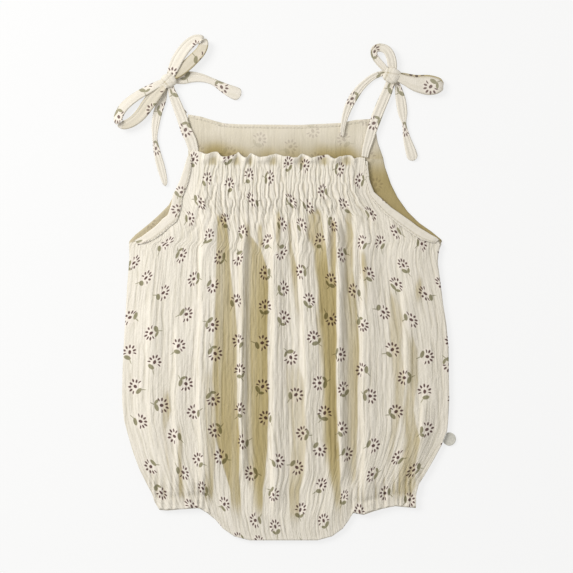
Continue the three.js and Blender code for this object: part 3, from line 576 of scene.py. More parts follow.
def cloth_creases(m, u, v, spacing, width):
    """Narrow creases down the cloth, from 0 to 1, which wander and come and go."""
    slow = m.noise(m.combine(m.math("MULTIPLY", u, 0.04), m.math("MULTIPLY", v, 0.012), spacing), 1.0, 1.0)
    quick = m.noise(m.combine(m.math("MULTIPLY", u, 0.16), m.math("MULTIPLY", v, 0.04), spacing + 3), 1.0, 2.0)
    drift = m.math("ADD", m.math("MULTIPLY", slow, 2.4), m.math("MULTIPLY", quick, 1.0))
    drift = m.math("ADD", drift, m.math("DIVIDE", u, spacing))
    off = m.math("ABSOLUTE", m.math("SUBTRACT", drift, m.math("ROUND", drift)))
    present = m.noise(m.combine(m.math("MULTIPLY", u, 0.16), m.math("MULTIPLY", v, 0.024), spacing + 7), 1.0, 2.0)
    return m.math("MULTIPLY", m.ramp(off, width / spacing, 0.0), m.ramp(present, 0.36, 0.6))


def gauze(name, ground, print_strength, crinkle=0.5, creased=0.5):
    """Double gauze: uneven cream cloth with creases, a fine open weave and the print, with painted shade that darkens
    the creases and darkens and warms the places the shade attribute marks.
    """
    m = Maker(name)
    across = m.node("ShaderNodeAttribute", attribute_name="thread").outputs["Fac"]
    _, down, _ = m.split(m.cloth_mm())
    cloth = m.combine(across, down)
    stretched = m.node("ShaderNodeMapping")
    m.put(stretched.inputs["Vector"], cloth)
    stretched.inputs["Scale"].default_value = (1.0, 0.16, 1.0)
    lines = m.noise(stretched.outputs[0], 0.42, 3.0)
    specks = m.noise(cloth, 0.55, 2.0)
    patches = m.noise(cloth, 0.035, 2.0)
    fine = m.math("MULTIPLY", cloth_creases(m, across, down, 2.9, 1.05), 0.5)
    creases = m.math("MAXIMUM", cloth_creases(m, across, down, 5.6, 1.75), fine)
    uneven = m.mix(m.math("MULTIPLY", m.ramp(lines, 0.62, 0.34), 0.14), ground, (0.60, 0.545, 0.42))
    uneven = m.mix(m.math("MULTIPLY", m.ramp(patches, 0.35, 0.7), 0.22), uneven, (0.79, 0.74, 0.68))
    # Painted shade: the creases are darkened towards the crease colour, and they are also cut into the bump below
    uneven = m.mix(m.math("MULTIPLY", creases, creased), uneven, PAINTED_CREASE_SHADE)
    colour = flower_print(m, uneven, print_strength)
    # Painted shade: the point attribute darkens the colour towards one tint and, where it is deep, warms it towards
    # another
    painted_shade = m.node("ShaderNodeAttribute", attribute_name="painted_shade").outputs["Fac"]
    painted_shade_colour = m.mix(painted_shade, (1.0, 1.0, 1.0), PAINTED_SHADE_TINT)
    deep = m.mix(m.ramp(painted_shade, 0.22, 0.8), (1.0, 1.0, 1.0), PAINTED_DEEP_SHADE_TINT)
    shaded = m.mix(1.0, m.mix(1.0, colour, painted_shade_colour, "MULTIPLY"), deep, "MULTIPLY")
    m.put(m.shader.inputs["Base Color"], shaded)
    m.shader.inputs["Roughness"].default_value = 0.95
    m.shader.inputs["Specular IOR Level"].default_value = 0.12
    m.shader.inputs["Sheen Weight"].default_value = 0.06
    m.shader.inputs["Sheen Roughness"].default_value = 0.6
    weave_u = m.math("SINE", m.math("MULTIPLY", across, 2 * math.pi / 0.62))
    weave_v = m.math("SINE", m.math("MULTIPLY", down, 2 * math.pi / 0.62))
    weave = m.math("MULTIPLY", m.math("ADD", weave_u, weave_v), 0.06)
    relief = m.math("ADD", m.math("MULTIPLY", lines, 1.0), m.math("MULTIPLY", specks, 0.7))
    relief = m.math("SUBTRACT", m.math("ADD", relief, weave), m.math("MULTIPLY", creases, 2 * creased))
    bump = m.node("ShaderNodeBump")
    bump.inputs["Strength"].default_value = crinkle
    bump.inputs["Distance"].default_value = 1.0 * MM
    m.put(bump.inputs["Height"], relief)
    m.put(m.shader.inputs["Normal"], bump.outputs[0])
    return m.material


def plain_finish(name, colour, roughness, grain):
    m = Maker(name)
    place = m.node("ShaderNodeTexCoord").outputs["Object"]
    specks = m.noise(place, grain, 3.0)
    darker = tuple(c * 0.86 for c in colour)
    m.put(m.shader.inputs["Base Color"], m.mix(m.ramp(specks, 0.35, 0.65), darker, colour))
    m.shader.inputs["Roughness"].default_value = roughness
    bump = m.node("ShaderNodeBump")
    bump.inputs["Strength"].default_value = 0.3
    bump.inputs["Distance"].default_value = 0.3 * MM
    m.put(bump.inputs["Height"], specks)
    m.put(m.shader.inputs["Normal"], bump.outputs[0])
    return m.material


# The front's form

def left_edge(y):
    return along(FRONT_LEFT, y)


def right_edge(y):
    return along(FRONT_RIGHT, y)


def inner_left(y):
    return left_edge(y) + along(EDGE_INSET, y)


def inner_right(y):
    return right_edge(y) - along(EDGE_INSET, y)


def is_leg(x):
    return (x < LEFT_LEG_INNER) | (x > RIGHT_LEG_INNER)


def away_from_edges(share):
    return smoothstep(share, 0.05, 0.1) * smoothstep(1 - share, 0.04, 0.08)


def fold_line(fold, y):
    middle = (fold["y_top"] + fold["y_bottom"]) / 2
    levels = [(fold["y_bottom"], fold["x_bottom"]), (middle, fold["x_mid"]), (fold["y_top"], fold["x_top"])]
    return along(levels, y) + 1.1 * wander(y * 0.05, 0 * y, fold["x_mid"])


def fold_form(x, y):
    """Height of the folds over the body's puff."""
    height = np.zeros_like(x)
    for row in FOLDS:
        fold = dict(zip(FOLD_COLUMNS, row))
        crest = fold_line(fold, y)
        ends = smoothstep(fold["y_top"] - y, 0, FOLD_END) * smoothstep(y - fold["y_bottom"], 0, FOLD_END)
        rise = 1 - smoothstep(crest - x, 0, FOLD_RISE)
        fall = 1 - smoothstep(x - crest, 0, fold["fall"])
        height = np.maximum(height, fold["height"] * ends * np.where(x < crest, rise, fall))
    return height


def painted_hollow_shade(x, y):
    """How much painted shade each point between the folds takes, from 0 to 1: it grows to the right and ends under the
    next crest.
    """
    deep = np.zeros_like(x)
    for lead, top_end, bottom_end, rows in PAINTED_HOLLOW_SHADES:
        left = along([(row[0], row[1]) for row in rows], y) + 0.6 * wander(y * 0.06, 0 * y, rows[0][2])
        right = along([(row[0], row[2]) for row in rows], y) + 0.7 * wander(y * 0.07, 0 * y, rows[0][1])
        shade = along([(row[0], row[3]) for row in rows], y)
        ends = smoothstep(rows[0][0] - y, 0, top_end) * smoothstep(y - rows[-1][0], 0, bottom_end)
        within = (x - left) / (right - left)
        grown = smoothstep(x, left - 0.6, left + 1.6) * (0.35 + 0.65 * smoothstep(within, 0, lead))
        inside = grown * (1 - smoothstep(x, right - 1.2, right + 0.9))
        uneven = 0.92 + 0.12 * wander(x * 0.5, y * 0.03, rows[0][2])
        deep = np.maximum(deep, np.clip(shade * ends * inside * uneven, 0, 1))
    return deep


def front_inner(x, y):
    from_side = np.minimum(x - left_edge(y), right_edge(y) - x)
    up = y - along(BOTTOM, x)
    by_hem = np.where(is_leg(x), along(PUFF_ABOVE_HEM, up), along(PUFF_ABOVE_CROTCH, up))
    puff = np.minimum(along(PUFF_BY_LEVEL, y), by_hem) * smoothstep(from_side, 0, PUFF_SIDE)
    return SEAM_LEVEL + puff + fold_form(x, y) * smoothstep(from_side, 6, PUFF_SIDE)


def scallop_turn(share):
    """Where a point of the ruffle is along its wide scallops, as an angle."""
    return (share * 8 + 0.4 * wander(share * 11, share * 0, 6)) * 2 * math.pi


def heading_wave(share, y):
    free = smoothstep(y, SHIRRING_TOP + 1, SHIRRING_TOP + 8) * away_from_edges(share)
    fine = 0.5 - 0.5 * np.cos((share * HEADING_WAVES + 0.3 * wander(share * 23, share * 0)) * 2 * math.pi)
    wide = 0.5 - 0.5 * np.cos(scallop_turn(share))
    return free * (0.6 * fine + 2.8 * wide)


def leg_gather(x, y):
    """Which gather of the leg's elastic a point lies in."""
    return x / LEG_WAVE_LENGTH + 0.6 * wander(x * 0.16, y * 0.03, 2)


def leg_shade(x, y):
    """Where the leg's gathers lie in shade: in the hem's hollows and in the small creases over the elastic."""
    up = y - along(BOTTOM, x)
    hollows = 0.4 * (0.5 + 0.5 * np.cos(leg_gather(x, y) * 2 * math.pi)) ** 3 * smoothstep(up, 7, 13) * (1 - smoothstep(up, 14, 52))
    over = np.exp(-((up - ELASTIC_ABOVE_HEM - 2) / 7) ** 2)
    creases = 0.17 * crease_lines(x / 3.4 + 0.5 * wander(x * 0.3, y * 0.35, 31), 0.2) * over
    near = smoothstep(np.minimum(np.abs(x - LEFT_LEG_INNER), np.abs(x - RIGHT_LEG_INNER)), 0, 6)
    return np.where(is_leg(x), np.maximum(hollows, creases) * near, 0)


def leg_wave(x, y):
    up = y - along(BOTTOM, x)
    ruffle = 1 - smoothstep(up, ELASTIC_ABOVE_HEM + 4, ELASTIC_ABOVE_HEM + 42)
    pinch = 1 - 0.75 * np.exp(-((up - ELASTIC_ABOVE_HEM - 2) / 2.2) ** 2)
    inner = np.minimum(np.abs(x - LEFT_LEG_INNER), np.abs(x - RIGHT_LEG_INNER))
    wave = (0.5 - 0.5 * np.cos(leg_gather(x, y) * 2 * math.pi)) * (0.75 + 0.45 * wander(x * 0.09, y * 0.05, 12))
    fine = 0.5 * (0.5 - 0.5 * np.cos(leg_gather(x + 3, y) * 4.6 * math.pi)) * np.exp(-((up - ELASTIC_ABOVE_HEM - 2) / 9) ** 2)
    return np.where(is_leg(x), (1.7 * ruffle * pinch * wave + fine) * smoothstep(inner, 0, 6), 0)


def crease_lines(drift, sharp):
    """Valleys of narrow creases, from 0 to 1, one at each whole number of drift."""
    off = drift - np.round(drift)
    return np.exp(-((off / sharp) ** 2))


def shirred_drift(share, y):
    """Which gather a point of the heading lies in: the gathers jog sideways between the rows of shirring thread."""
    level = (SHIRRING_TOP + 3 - y) / SHIRRING_ROW
    row = np.floor(level)
    here = 0.5 * wander(share * 38, row * 5.3, 4)
    below = 0.5 * wander(share * 38, (row + 1) * 5.3, 4)
    return share * SHIRRED_GATHERS + lerp(here, below, smoothstep(level - row, 0.25, 0.75))


def gather_relief(share, y):
    """Puffs between the rows of shirring thread, then gathers that die out down the body."""
    shirred = smoothstep(y, SHIRRING_BOTTOM - 8, SHIRRING_BOTTOM + 2) * (1 - smoothstep(y, SHIRRING_TOP + 1, SHIRRING_TOP + 5))
    below = smoothstep(y, 236, SHIRRING_BOTTOM - 2) * (1 - smoothstep(y, SHIRRING_BOTTOM - 2, SHIRRING_TOP))
    rows = crease_lines((SHIRRING_TOP + 3 - y) / SHIRRING_ROW, 0.17)
    drift = shirred_drift(share, y)
    creases = crease_lines(drift, 0.17)
    half = crease_lines(drift * 0.5 + 0.25, 0.1)
    wide = 0.5 - 0.5 * np.cos((drift * 0.5 + 0.2 * wander(share * 19, y * 0.03, 6)) * 2 * math.pi)
    yoke = shirred * (1.3 - 0.85 * creases - 0.35 * half - 0.3 * rows * (1 - creases))
    lower = below * (0.7 * (1 - creases) * smoothstep(y, 266, 298) + 0.9 * wide)
    return (yoke + lower) * away_from_edges(share)


def gather_shade(share, y):
    """Where the creases of the shirring and the gathers under it lie in shade."""
    near = smoothstep(y, 268, 298) * (1 - smoothstep(y, SHIRRING_TOP + 2, SHIRRING_TOP + 8))
    return 0.3 * crease_lines(shirred_drift(share, y), 0.14) * near * away_from_edges(share)


def crinkle(u, y):
    """Creases of the crinkled gauze, a few millimetres apart, with puckers between them, as height and as painted
    shade.
    """
    drift = u / CRINKLE_LENGTH + 0.45 * wander(u * 0.045, y * 0.03, 1) + 0.16 * wander(u * 0.21, y * 0.1, 5)
    fine = u / (CRINKLE_LENGTH * 0.47) + 0.4 * wander(u * 0.07, y * 0.06, 21) + 0.2 * wander(u * 0.4, y * 0.2, 22)
    strength = np.clip(0.55 + 0.75 * wander(u * 0.17, y * 0.035, 8), 0.08, 1)
    faint = np.clip(0.3 + 0.9 * wander(u * 0.23, y * 0.07, 17), 0, 1)
    valleys = strength * crease_lines(drift, 0.17)
    lesser = faint * crease_lines(fine, 0.2)
    swell = 0.3 * wander(u * 0.33, y * 0.12, 14)
    pucker = 0.17 * wander(u * 0.6, y * 0.75, 11) + 0.1 * wander(u * 1.4, y * 1.3, 13)
    return swell + pucker - 0.55 * valleys - 0.3 * lesser, 0.2 * valleys + 0.08 * lesser


def column_x(share, y, top_x):
    straight = smoothstep(y, FOLDS_SPREAD, ARMHOLE_BOTTOM) * (1 - np.abs(2 * share - 1) ** 3)
    return lerp(lerp(inner_left(y), inner_right(y), share), top_x, straight)


def cloth_across(x, y, gathered, low, high):
    """Cloth coordinate across: along the folds low down, and at the gathers so many millimetres of cloth a millimetre."""
    height = fold_form(x, y)
    step = np.hypot(np.diff(x, axis=1), np.diff(height, axis=1))
    length = np.concatenate([np.zeros((len(x), 1)), np.cumsum(step, axis=1)], axis=1)
    below = length / length[:, -1:] * CLOTH_WIDTH
    above = CLOTH_WIDTH / 2 + (x - (inner_left(y) + inner_right(y)) / 2) * gathered
    return lerp(below, above, smoothstep(y, low, high))


PRINT_GATHERED = 1.65
THREADS_GATHERED = 1.25


def front_grid(columns, rows, outer):
    share, level = np.meshgrid(np.linspace(0, 1, columns), np.linspace(0, 1, rows))
    top_x = lerp(left_edge(351), right_edge(344), share)
    bottom_x = lerp(left_edge(27.3), right_edge(29), share)
    y = lerp(along(FRONT_TOP, top_x), along(BOTTOM, bottom_x), level)
    x = column_x(share, y, top_x)
    u = cloth_across(x, y, PRINT_GATHERED, 170, 315)
    thread = cloth_across(x, y, THREADS_GATHERED, 200, 300)
    z = front_inner(x, y) + heading_wave(share, y) + leg_wave(x, y)
    shade = painted_hollow_shade(x, y)
    frill = smoothstep(y, SHIRRING_TOP + 2, SHIRRING_TOP + 11) * away_from_edges(share)
    turn = scallop_turn(share)
    if outer:
        from_side = np.minimum(x - left_edge(y), right_edge(y) - x)
        calm = smoothstep(from_side, 1, 9) * smoothstep(y - along(BOTTOM, x), 0.5, 5)
        calm = calm * (1 - 0.75 * smoothstep(y, 285, 305))
        # The crinkle gives height, and painted shade in its valleys
        relief, lines = crinkle(thread, y)
        z = z + FRONT_THICK + gather_relief(share, y) + relief * calm
        # Painted shade: a slight darkening towards the right side, away from the key light
        painted_shade_rightward = 0.07 * smoothstep(x, -40, 140)
        # Painted shade in the hollows between the ruffle's scallops, held off its top rim
        free = smoothstep(y, SHIRRING_TOP, SHIRRING_TOP + 4) * (1 - 0.75 * smoothstep(y, SHIRRING_TOP + 7.5, SHIRRING_TOP + 9.5))
        painted_ruffle_shade = 0.52 * (0.5 + 0.5 * np.cos(turn + 0.5)) ** 1.6 * free * away_from_edges(share)
        shade = 1 - (1 - shade) * (1 - lines * calm) * (1 - gather_shade(share, y)) * (1 - painted_shade_rightward) * (1 - painted_ruffle_shade)
        shade = 1 - (1 - shade) * (1 - leg_shade(x, y))
    y = y + frill * (0.9 * wander(share * 47, share * 0, 9) + 1.9 * np.cos(turn))
    at_hem = 1 - smoothstep(y - along(BOTTOM, x), 0, 9)
    y = y + np.where(is_leg(x), 0.7 * at_hem * (1 - np.cos(leg_gather(x, y) * 2 * math.pi)), 0)
    x = x + frill * 2.4 * np.sin(turn) * wander(share * 9, share * 0, 16)
    return {"points": np.stack([x, y, z], -1), "uvs": np.stack([u, y], -1), "threads": thread, "shades": shade}


FRONT_COLUMNS = 368
FRONT_ROWS = 236
COARSE = 4


def front_panel(outside, inside):
    outer = front_grid(FRONT_COLUMNS, FRONT_ROWS, True)
    inner = front_grid(FRONT_COLUMNS // COARSE, FRONT_ROWS // COARSE, False)
    piece = cloth_piece("front_cloth", outer, inner, outside, inside)
    return dress(piece, "gauze_print", "front_panel")


def front_surface(x, y):
    """The front's outer level without gathers or crinkle, for what lies on it."""
    share = (x - inner_left(y)) / (inner_right(y) - inner_left(y))
    return front_inner(x, y) + FRONT_THICK + heading_wave(share, y) + gather_relief(share, y)


# The back

def back_grid(columns, rows, upper):
    left = BACK_LEFT + [row for row in FRONT_LEFT if row[0] < 262]
    right = BACK_RIGHT + [row for row in FRONT_RIGHT if row[0] < 262]
    share, level = np.meshgrid(np.linspace(0, 1, columns), np.linspace(0, 1, rows) ** 1.25)
    top_x = lerp(left[0][1], right[0][1], share)
    bottom_x = lerp(left[-1][1], right[-1][1], share)
    y = lerp(along(BACK_TOP, top_x), along(BOTTOM, bottom_x), level)
    x = lerp(along(left, y), along(right, y), share)
    from_side = np.minimum(x - along(left, y), along(right, y) - x)
    from_top = along(BACK_TOP, x) - y
    rolled = smoothstep(np.minimum(from_side, from_top), 0, 1.6)
    if upper:
        hem = 0.35 * (1 - smoothstep(from_top, 2.2, 3.0)) - 0.2 * crease_lines((from_top - 3.0) / 10, 0.06) * (from_top < 6)
        side_hem = 0.3 * (1 - smoothstep(from_side, 4.5, 5.5)) * (y > 268)
        creases = 0.5 + 0.5 * wander(x * 0.11, y * 0.045, 15)
        relief, _ = crinkle(x * 1.3 + 40, y)
        calm = smoothstep(from_top, 3, 8) * smoothstep(from_side, 1, 6)
        z = BACK_THICK - 0.3 + 0.3 * rolled + hem + side_hem + (0.5 * creases + 0.28 * relief) * calm
    else:
        z = 0.25 * (1 - rolled)
    # Painted shadow on the back's inside just above the front's top edge, and painted shade inside both armholes, on
    # the upper side only
    over = y - along(FRONT_TOP, x)
    painted_neck_shadow = smoothstep(over, -6, 0) * (1 - smoothstep(over, -2, 23 + 5 * wander(x * 0.06, x * 0, 5)))
    painted_left_armhole_shade = 0.46 * smoothstep(left_edge(y) - x, -3, 0) * (1 - smoothstep(y, 338, 350))
    painted_right_armhole_shade = smoothstep(x - right_edge(y), -3, 0) * (0.24 + 0.5 * (1 - smoothstep(y, 322, 352)))
    painted_shade = np.maximum.reduce([0.74 * painted_neck_shadow * (0.8 + 0.4 * wander(x * 0.07, x * 0, 3)), painted_left_armhole_shade, painted_right_armhole_shade])
    across = x * 1.06 + 13
    shades = np.clip(painted_shade, 0, 1) if upper else np.zeros_like(x)
    return {"points": np.stack([x, y, z], -1), "uvs": np.stack([across, y], -1), "threads": across, "shades": shades}


def back_panel(outside, inside):
    piece = cloth_piece("back_cloth", back_grid(150, 190, True), back_grid(75, 95, False), inside, outside)
    return dress(piece, "gauze_inside", "back_panel")


# Bindings

def edge_frame(edge, y, side):
    """A point of the edge at level y, and the direction from it into the front."""
    here = np.array([along(edge, y), y])
    run = np.array([along(edge, y - 4) - along(edge, y + 4), -8.0])
    run /= np.hypot(*run)
    return here, np.array([-run[1], run[0]]) * side


BINDING_STATIONS = 120


def binding(name, node, edge, widths, side, material):
    """A folded band over the armhole's edge: rows across it as share of its width, height and cloth coordinate."""
    stations = np.linspace(widths[0][0], widths[-1][0], BINDING_STATIONS)
    section = [
        (0.0, 0.15, 0), (-0.01, 0.55, 0.8), (0.06, 0.95, 1.6), (0.2, 1.08, 3), (0.42, 1.0, 5), (0.66, 1.05, 7),
        (0.78, 0.95, 8.2), (0.83, 0.72, 8.8), (0.88, 0.92, 9.4), (0.96, 0.85, 10.4), (1.0, 0.45, 11),
    ]
    rows, uvs = [], []
    for i, y in enumerate(stations):
        here, inward = edge_frame(edge, y, side)
        width = float(along(widths, y))
        ripple = 0.16 * float(wander(np.array(i * 0.31), np.array(0.0), side))
        ends = float(smoothstep(min(i, BINDING_STATIONS - 1 - i), 0, 4))
        row = [(here[0], here[1], SEAM_LEVEL)]
        for share, height, _ in section:
            px, py = here + inward * (share * width)
            level = float(front_surface(np.array(px), np.array(py)))
            row.append((px, py, level + 0.1 + (height + ripple * (0.1 < share < 0.8)) * (0.3 + 0.7 * ends)))
        rows.append(row)
        uvs.append([(-1.5 + 5 * side, float(i) * 0.9)] + [(step[2] + 5 * side, float(i) * 0.9) for step in section])
    points = np.array(rows)
    faces = grid_faces(points.shape[0], points.shape[1])
    shades = np.zeros(points.shape[:2])
    # Painted shade in the groove along the binding's fold
    shades[:, 7:9] = 0.3
    piece = mesh_piece(name, points.reshape(-1, 3), faces, material, np.array(uvs).reshape(-1, 2), shades.ravel())
    solid = piece.modifiers.new("thickness", "SOLIDIFY")
    solid.thickness = 0.5 * MM
    solid.offset = -1
    fix_normals(piece)
    return dress(piece, "gauze_print", node)

def smooth_path(rows, steps):
    """Points and widths along a uniform Catmull-Rom curve through the rows."""
    keys = np.array(rows, float)
    padded = np.vstack([2 * keys[0] - keys[1], keys, 2 * keys[-1] - keys[-2]])
    out = []
    spans = len(keys) - 1
    for t in np.linspace(0, spans, steps):
        i = min(int(t), spans - 1)
        f = t - i
        a, b, c, d = padded[i:i + 4]
        out.append(0.5 * (2 * b + (c - a) * f + (2 * a - 5 * b + 4 * c - d) * f * f + (3 * b - a - 3 * c + d) * f ** 3))
    return np.array(out)


TIE_STEPS_PER_ROW = 9
# A flower of the print, in cloth millimetres: each strip has it at its flower_at from the knot
TIE_FLOWER = (19.8, 7.1)
TIE_FLAT_WIDTH = 9.5
TIE_SECTION = [
    (-0.5, 0.0), (-0.47, -0.34), (-0.36, -0.5), (0, -0.44), (0.36, -0.5), (0.47, -0.34),
    (0.5, 0.0), (0.47, 0.36), (0.4, 0.5), (0.31, 0.48), (0.27, 0.3), (0.22, 0.42), (0.1, 0.4), (0, 0.36), (-0.12, 0.38),
    (-0.24, 0.44), (-0.36, 0.5), (-0.46, 0.4),
]


def tie_strip(name, strip, material, uv_start):
    rows, axis = strip["rows"], strip["axis"]
    path = smooth_path(rows, (len(rows) - 1) * TIE_STEPS_PER_ROW + 1)
    centre, widths = path[:, :3], path[:, 3]
    run = np.gradient(centre, axis=0)
    run /= np.linalg.norm(run, axis=1)[:, None]
    if axis:
        plan, lean = (math.radians(angle) for angle in axis)
        across = np.tile([math.cos(plan) * math.cos(lean), math.sin(plan) * math.cos(lean), math.sin(lean)], (len(path), 1))
    else:
        across = np.cross([0, 0, 1], run)
    across = across - run * np.sum(across * run, axis=1)[:, None]
    across /= np.linalg.norm(across, axis=1)[:, None]
    out = np.cross(run, across)
    far = np.concatenate([[0], np.cumsum(np.linalg.norm(np.diff(centre, axis=0), axis=1))])
    to_end = far[-1] - far
    blunt = strip.get("round_end", 0)
    taper = np.sqrt(np.clip(1 - (1 - np.clip(to_end / blunt, 0, 1)) ** 2, 0.03, 1)) if blunt else np.ones(len(path))
    painted_shade_from, painted_shade_to, painted_shade_depth = strip.get("painted_shade", (2, 2, 0))
    share = np.linspace(0, 1, len(path))
    rings, uvs, shades = [], [], []
    for i in range(len(path)):
        soft = 1 + 0.12 * float(wander(np.array(far[i] * 0.35), np.array(0.0), uv_start))
        twist = 0.55 * float(wander(np.array(far[i] * 0.16), np.array(0.0), uv_start + 2))
        ring = []
        for w, h in TIE_SECTION:
            crest = 0.1 * math.sin((w + 0.07 * twist) * 17) * (h > 0) * (abs(w) < 0.42)
            rise = (h + crest) * TIE_THICK * soft * (0.45 + 0.55 * taper[i])
            p = centre[i] + across[i] * w * widths[i] * taper[i] + out[i] * rise
            ring.append((p[0], p[1], max(p[2], 0.02)))
        rings.append(ring)
        down = TIE_FLOWER[1] - strip["flower_at"] + far[i]
        flat = max(TIE_FLAT_WIDTH, widths[i])
        uvs.append([(TIE_FLOWER[0] + w * flat, down) for w, _ in TIE_SECTION])
        # Painted shade on the strips: near the knot at either end of a loop, along a loop's inner band, and along both
        # rolled edges
        painted_shade_near_knot = 0.35 * math.exp(-far[i] / 3.2)
        if strip["end"] == "object" and axis:
            painted_shade_near_knot += 0.35 * math.exp(-to_end[i] / 3.2)
        inside = painted_shade_depth * (painted_shade_from < share[i] < painted_shade_to)
        shades.append([min(0.9, painted_shade_near_knot + inside + (0.3 if abs(w) > 0.46 else 0)) for w, _ in TIE_SECTION])
    points = np.array(rings)
    steps, sides = points.shape[:2]
    faces = []
    for r in range(steps - 1):
        for s in range(sides):
            n = (s + 1) % sides
            faces.append((r * sides + s, r * sides + n, (r + 1) * sides + n, (r + 1) * sides + s))
    faces.append(tuple(range(sides - 1, -1, -1)))
    faces.append(tuple((steps - 1) * sides + s for s in range(sides)))
    piece = mesh_piece(name, points.reshape(-1, 3), faces, material, np.array(uvs).reshape(-1, 2), np.ravel(shades))
    fix_normals(piece)
    return piece, float(far[-1])


def ties(material):
    made = []
    for i, (node, strip) in enumerate(STRIPS.items()):
        piece, length = tie_strip(node + "_cloth", strip, material, 11.0 + 17.3 * i)
        dress(piece, "tie_gauze", node)
        made.append((piece, length, strip))
    return made


def knot(side, material):
    """A lump of wrapped strip: a band crosses it and creases run into its sides."""
    facts = KNOTS[side]
    turn = math.radians(facts["turn"])
    rings, columns = 46, 76
    points, uvs, shades = [], [], []
    for r in range(rings):
        theta = math.pi * (r + 0.5) / rings
        for c in range(columns):
            phi = 2 * math.pi * c / columns
            x, y, z = math.sin(theta) * math.cos(phi), math.sin(theta) * math.sin(phi), math.cos(theta)
            lx = x * math.cos(turn) + y * math.sin(turn)
            ly = -x * math.sin(turn) + y * math.cos(turn)
            boxy = (abs(lx) ** 2.8 + abs(ly) ** 2.8 + abs(z) ** 2.8) ** (-1 / 2.8)
            crease = math.exp(-(((ly - 0.28 * lx - 0.22) / 0.09) ** 2)) + math.exp(-(((lx + 0.55 + 0.2 * ly) / 0.1) ** 2))
            crease += 0.6 * math.exp(-(((ly + 0.45 + 0.35 * lx) / 0.08) ** 2))
            size = 0.9 * boxy * (1 - 0.07 * crease) * (1 + 0.02 * math.sin(7 * lx + 3 * ly))
            px = facts["x"] + x * size * facts["across"][0] / 2
            py = facts["y"] + y * size * facts["across"][1] / 2
            pz = max(facts["z"] + z * size * facts["height"] / 2, 0.02)
            points.append((px, py, pz))
            uvs.append((facts["x"] + lx * 8, ly * 8 + 5))
            # Painted shade in the knot's creases and on its lower side
            shades.append(min(0.8, 0.32 * crease + 0.3 * (1 - max(z, 0)) ** 3))
    faces = []
    for r in range(rings - 1):
        for c in range(columns):
            n = (c + 1) % columns
            faces.append((r * columns + c, (r + 1) * columns + c, (r + 1) * columns + n, r * columns + n))
    faces.append(tuple(range(columns)))
    faces.append(tuple((rings - 1) * columns + c for c in range(columns - 1, -1, -1)))
    piece = mesh_piece(f"knot_{side}_cloth", points, faces, material, uvs, shades)
    fix_normals(piece)
    return dress(piece, "tie_gauze", f"knot_{side}")


def side_tab(material):
    facts = SIDE_TAB
    sides, steps = 64, [(0.0, 0.0), (0.97, 0.0), (1.0, 0.25), (1.0, 0.8), (0.96, 1.0), (0.86, 1.02), (0.82, 0.94), (0.0, 0.94)]
    points, faces = [], []
    for reach, height in steps:
        for s in range(sides):
            turn = 2 * math.pi * s / sides
            x = facts["x"] + facts["radius"] * reach * math.cos(turn)
            y = facts["y"] + facts["radius"] * reach * math.sin(turn)
            points.append((max(x, float(right_edge(y)) + 0.5), y, facts["thick"] * height))
    for r in range(len(steps) - 1):
        for s in range(sides):
            n = (s + 1) % sides
            faces.append((r * sides + s, r * sides + n, (r + 1) * sides + n, (r + 1) * sides + s))
    piece = mesh_piece("side_tab_felt", points, faces, material)
    fix_normals(piece)
    return dress(piece, "tab_felt", "side_tab")


# Stitches

def stitch_run(name, line, pitch, length, thick, material, lift=0.12):
    """Short raised stitches along a line of garment points."""
    line = np.array(line)
    step = np.linalg.norm(np.diff(line, axis=0), axis=1)
    far = np.concatenate([[0], np.cumsum(step)])
    points, faces = [], []
    for start in np.arange(pitch / 2, far[-1] - length, pitch):
        a = np.array([np.interp(start, far, line[:, k]) for k in range(3)])
        b = np.array([np.interp(start + length, far, line[:, k]) for k in range(3)])
        run = b - a
        run /= np.linalg.norm(run)
        across = np.cross(run, [0, 0, 1])
        across /= np.linalg.norm(across)
        up = np.cross(across, run)
        base = len(points)
        for t, size in ((0, 0.25), (0.2, 0.9), (0.5, 1), (0.8, 0.9), (1, 0.25)):
            mid = a + (b - a) * t + up * (lift + 0.18 * math.sin(math.pi * t))
            for k in range(6):
                turn = k * math.pi / 3
                points.append(mid + (across * math.cos(turn) + up * math.sin(turn)) * size * thick / 2)
        for r in range(4):
            for k in range(6):
                n = (k + 1) % 6
                faces.append((base + r * 6 + k, base + r * 6 + n, base + (r + 1) * 6 + n, base + (r + 1) * 6 + k))
        faces.append(tuple(base + k for k in range(5, -1, -1)))
        faces.append(tuple(base + 24 + k for k in range(6)))
    piece = mesh_piece(name, points, faces, material)
    return dress(piece, "gauze_print")


def front_line(x, y):
    """Points on the front's finished outer side under x and y."""
    share = (x - inner_left(y)) / (inner_right(y) - inner_left(y))
    z = front_surface(x, y)
    return np.stack([x, y, z + 0 * share], -1)


def stitches(material):
    made = []
    for i, (edge, widths, side) in enumerate(((FRONT_LEFT, LEFT_BINDING, 1), (FRONT_RIGHT, RIGHT_BINDING, -1))):
        line = []
        for y in np.linspace(widths[0][0] - 1, widths[-1][0] + 0.5, 90):
            here, inward = edge_frame(edge, y, side)
            px, py = here + inward * float(along(widths, y)) * 0.86
            line.append((px, py, float(front_surface(np.array(px), np.array(py))) + GAP + 0.75))
        made.append(stitch_run(f"stitches_binding_{i}", line, 3.4, 2.4, 0.42, material))
    back_x = np.linspace(-84, 74, 120)
    hem = np.stack([back_x, along(BACK_TOP, back_x) - 2.6, np.full_like(back_x, BACK_THICK + 0.3)], -1)
    made.append(stitch_run("stitches_back_neck", hem, 3.4, 2.4, 0.4, material, 0.3))
    return made


# The scene

def camera():
    data = bpy.data.cameras.new("camera")
    data.sensor_width = 36
    data.lens = data.sensor_width * CAMERA_HEIGHT / (PHOTO_SIDE * PIXEL_MM * MM)
    data.clip_end = 20
    made = bpy.data.objects.new("camera", data)
    middle_y = (CROTCH_ROW - PHOTO_SIDE / 2) * PIXEL_MM + SHIFT_Y
    made.location = (SHIFT_X * MM, middle_y * MM, CAMERA_HEIGHT)
    bpy.context.scene.collection.objects.link(made)
    bpy.context.scene.camera = made
    return made


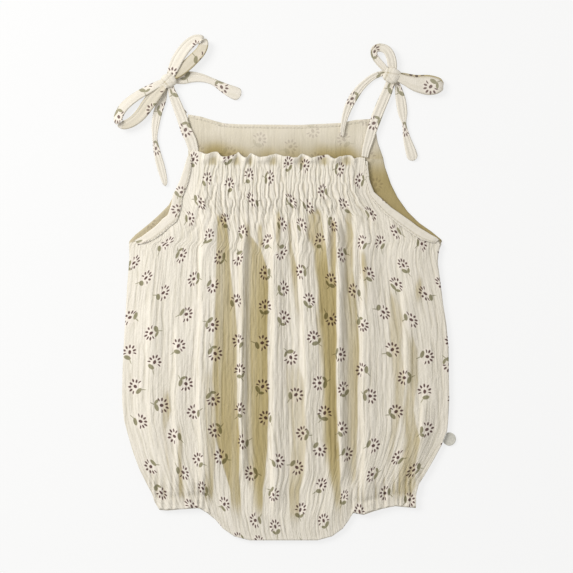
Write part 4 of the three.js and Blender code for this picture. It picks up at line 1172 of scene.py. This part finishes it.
def floor_and_light():
    mesh = bpy.data.meshes.new("floor")
    mesh.from_pydata([(-4, -4, 0), (4, -4, 0), (4, 4, 0), (-4, 4, 0)], [], [(0, 1, 2, 3)])
    m = Maker("floor")
    m.shader.inputs["Base Color"].default_value = (*(0.17 * c for c in FLOOR_WHITE), 1)
    m.shader.inputs["Emission Color"].default_value = (1, 1, 1, 1)
    m.shader.inputs["Emission Strength"].default_value = 0.748
    m.shader.inputs["Roughness"].default_value = 0.9
    mesh.materials.append(m.material)
    floor = bpy.data.objects.new("floor", mesh)
    floor.location.z = -0.0004
    bpy.context.scene.collection.objects.link(floor)
    key = bpy.data.lights.new("key", "AREA")
    key.size = 0.8
    key.energy = 25
    key.color = (1.0, 0.985, 0.955)
    lamp = bpy.data.objects.new("key", key)
    lamp.location = (-1.15, 0.75, 1.05)
    lamp.rotation_euler = (-lamp.location).to_track_quat("-Z", "Y").to_euler()
    bpy.context.scene.collection.objects.link(lamp)
    world = bpy.data.worlds.new("studio")
    world.use_nodes = True
    world.node_tree.nodes["Background"].inputs["Color"].default_value = (1.0, 0.985, 0.95, 1)
    world.node_tree.nodes["Background"].inputs["Strength"].default_value = 0.66
    bpy.context.scene.world = world
    bpy.context.scene.view_settings.view_transform = "Standard"


camera()
floor_and_light()

print_gauze = gauze("printed_gauze", CREAM, 0.94, 0.5, 0.41)
inside_gauze = gauze("inside_gauze", INSIDE_CREAM, 0.24, 0.35, 0.16)
tie_gauze = gauze("tie_gauze", TIE_CREAM_WITH_PAINTED_SHADE, 0.85, 0.35, 0.12)
knot_gauze = gauze("knot_gauze", TIE_CREAM_WITH_PAINTED_SHADE, 0.0, 0.4, 0.2)
thread = plain_finish("thread", THREAD, 0.7, 900)
felt = plain_finish("tab_felt", TAB_GREY, 0.85, 700)

front = front_panel(print_gauze, inside_gauze)
back = back_panel(print_gauze, inside_gauze)
binding_left = binding("binding_left_cloth", "binding_left", FRONT_LEFT, LEFT_BINDING, 1, tie_gauze)
binding_right = binding("binding_right_cloth", "binding_right", FRONT_RIGHT, RIGHT_BINDING, -1, tie_gauze)
strips = ties(tie_gauze)
knots = [knot(side, knot_gauze) for side in KNOTS]
tab = side_tab(felt)
sewing = stitches(thread)
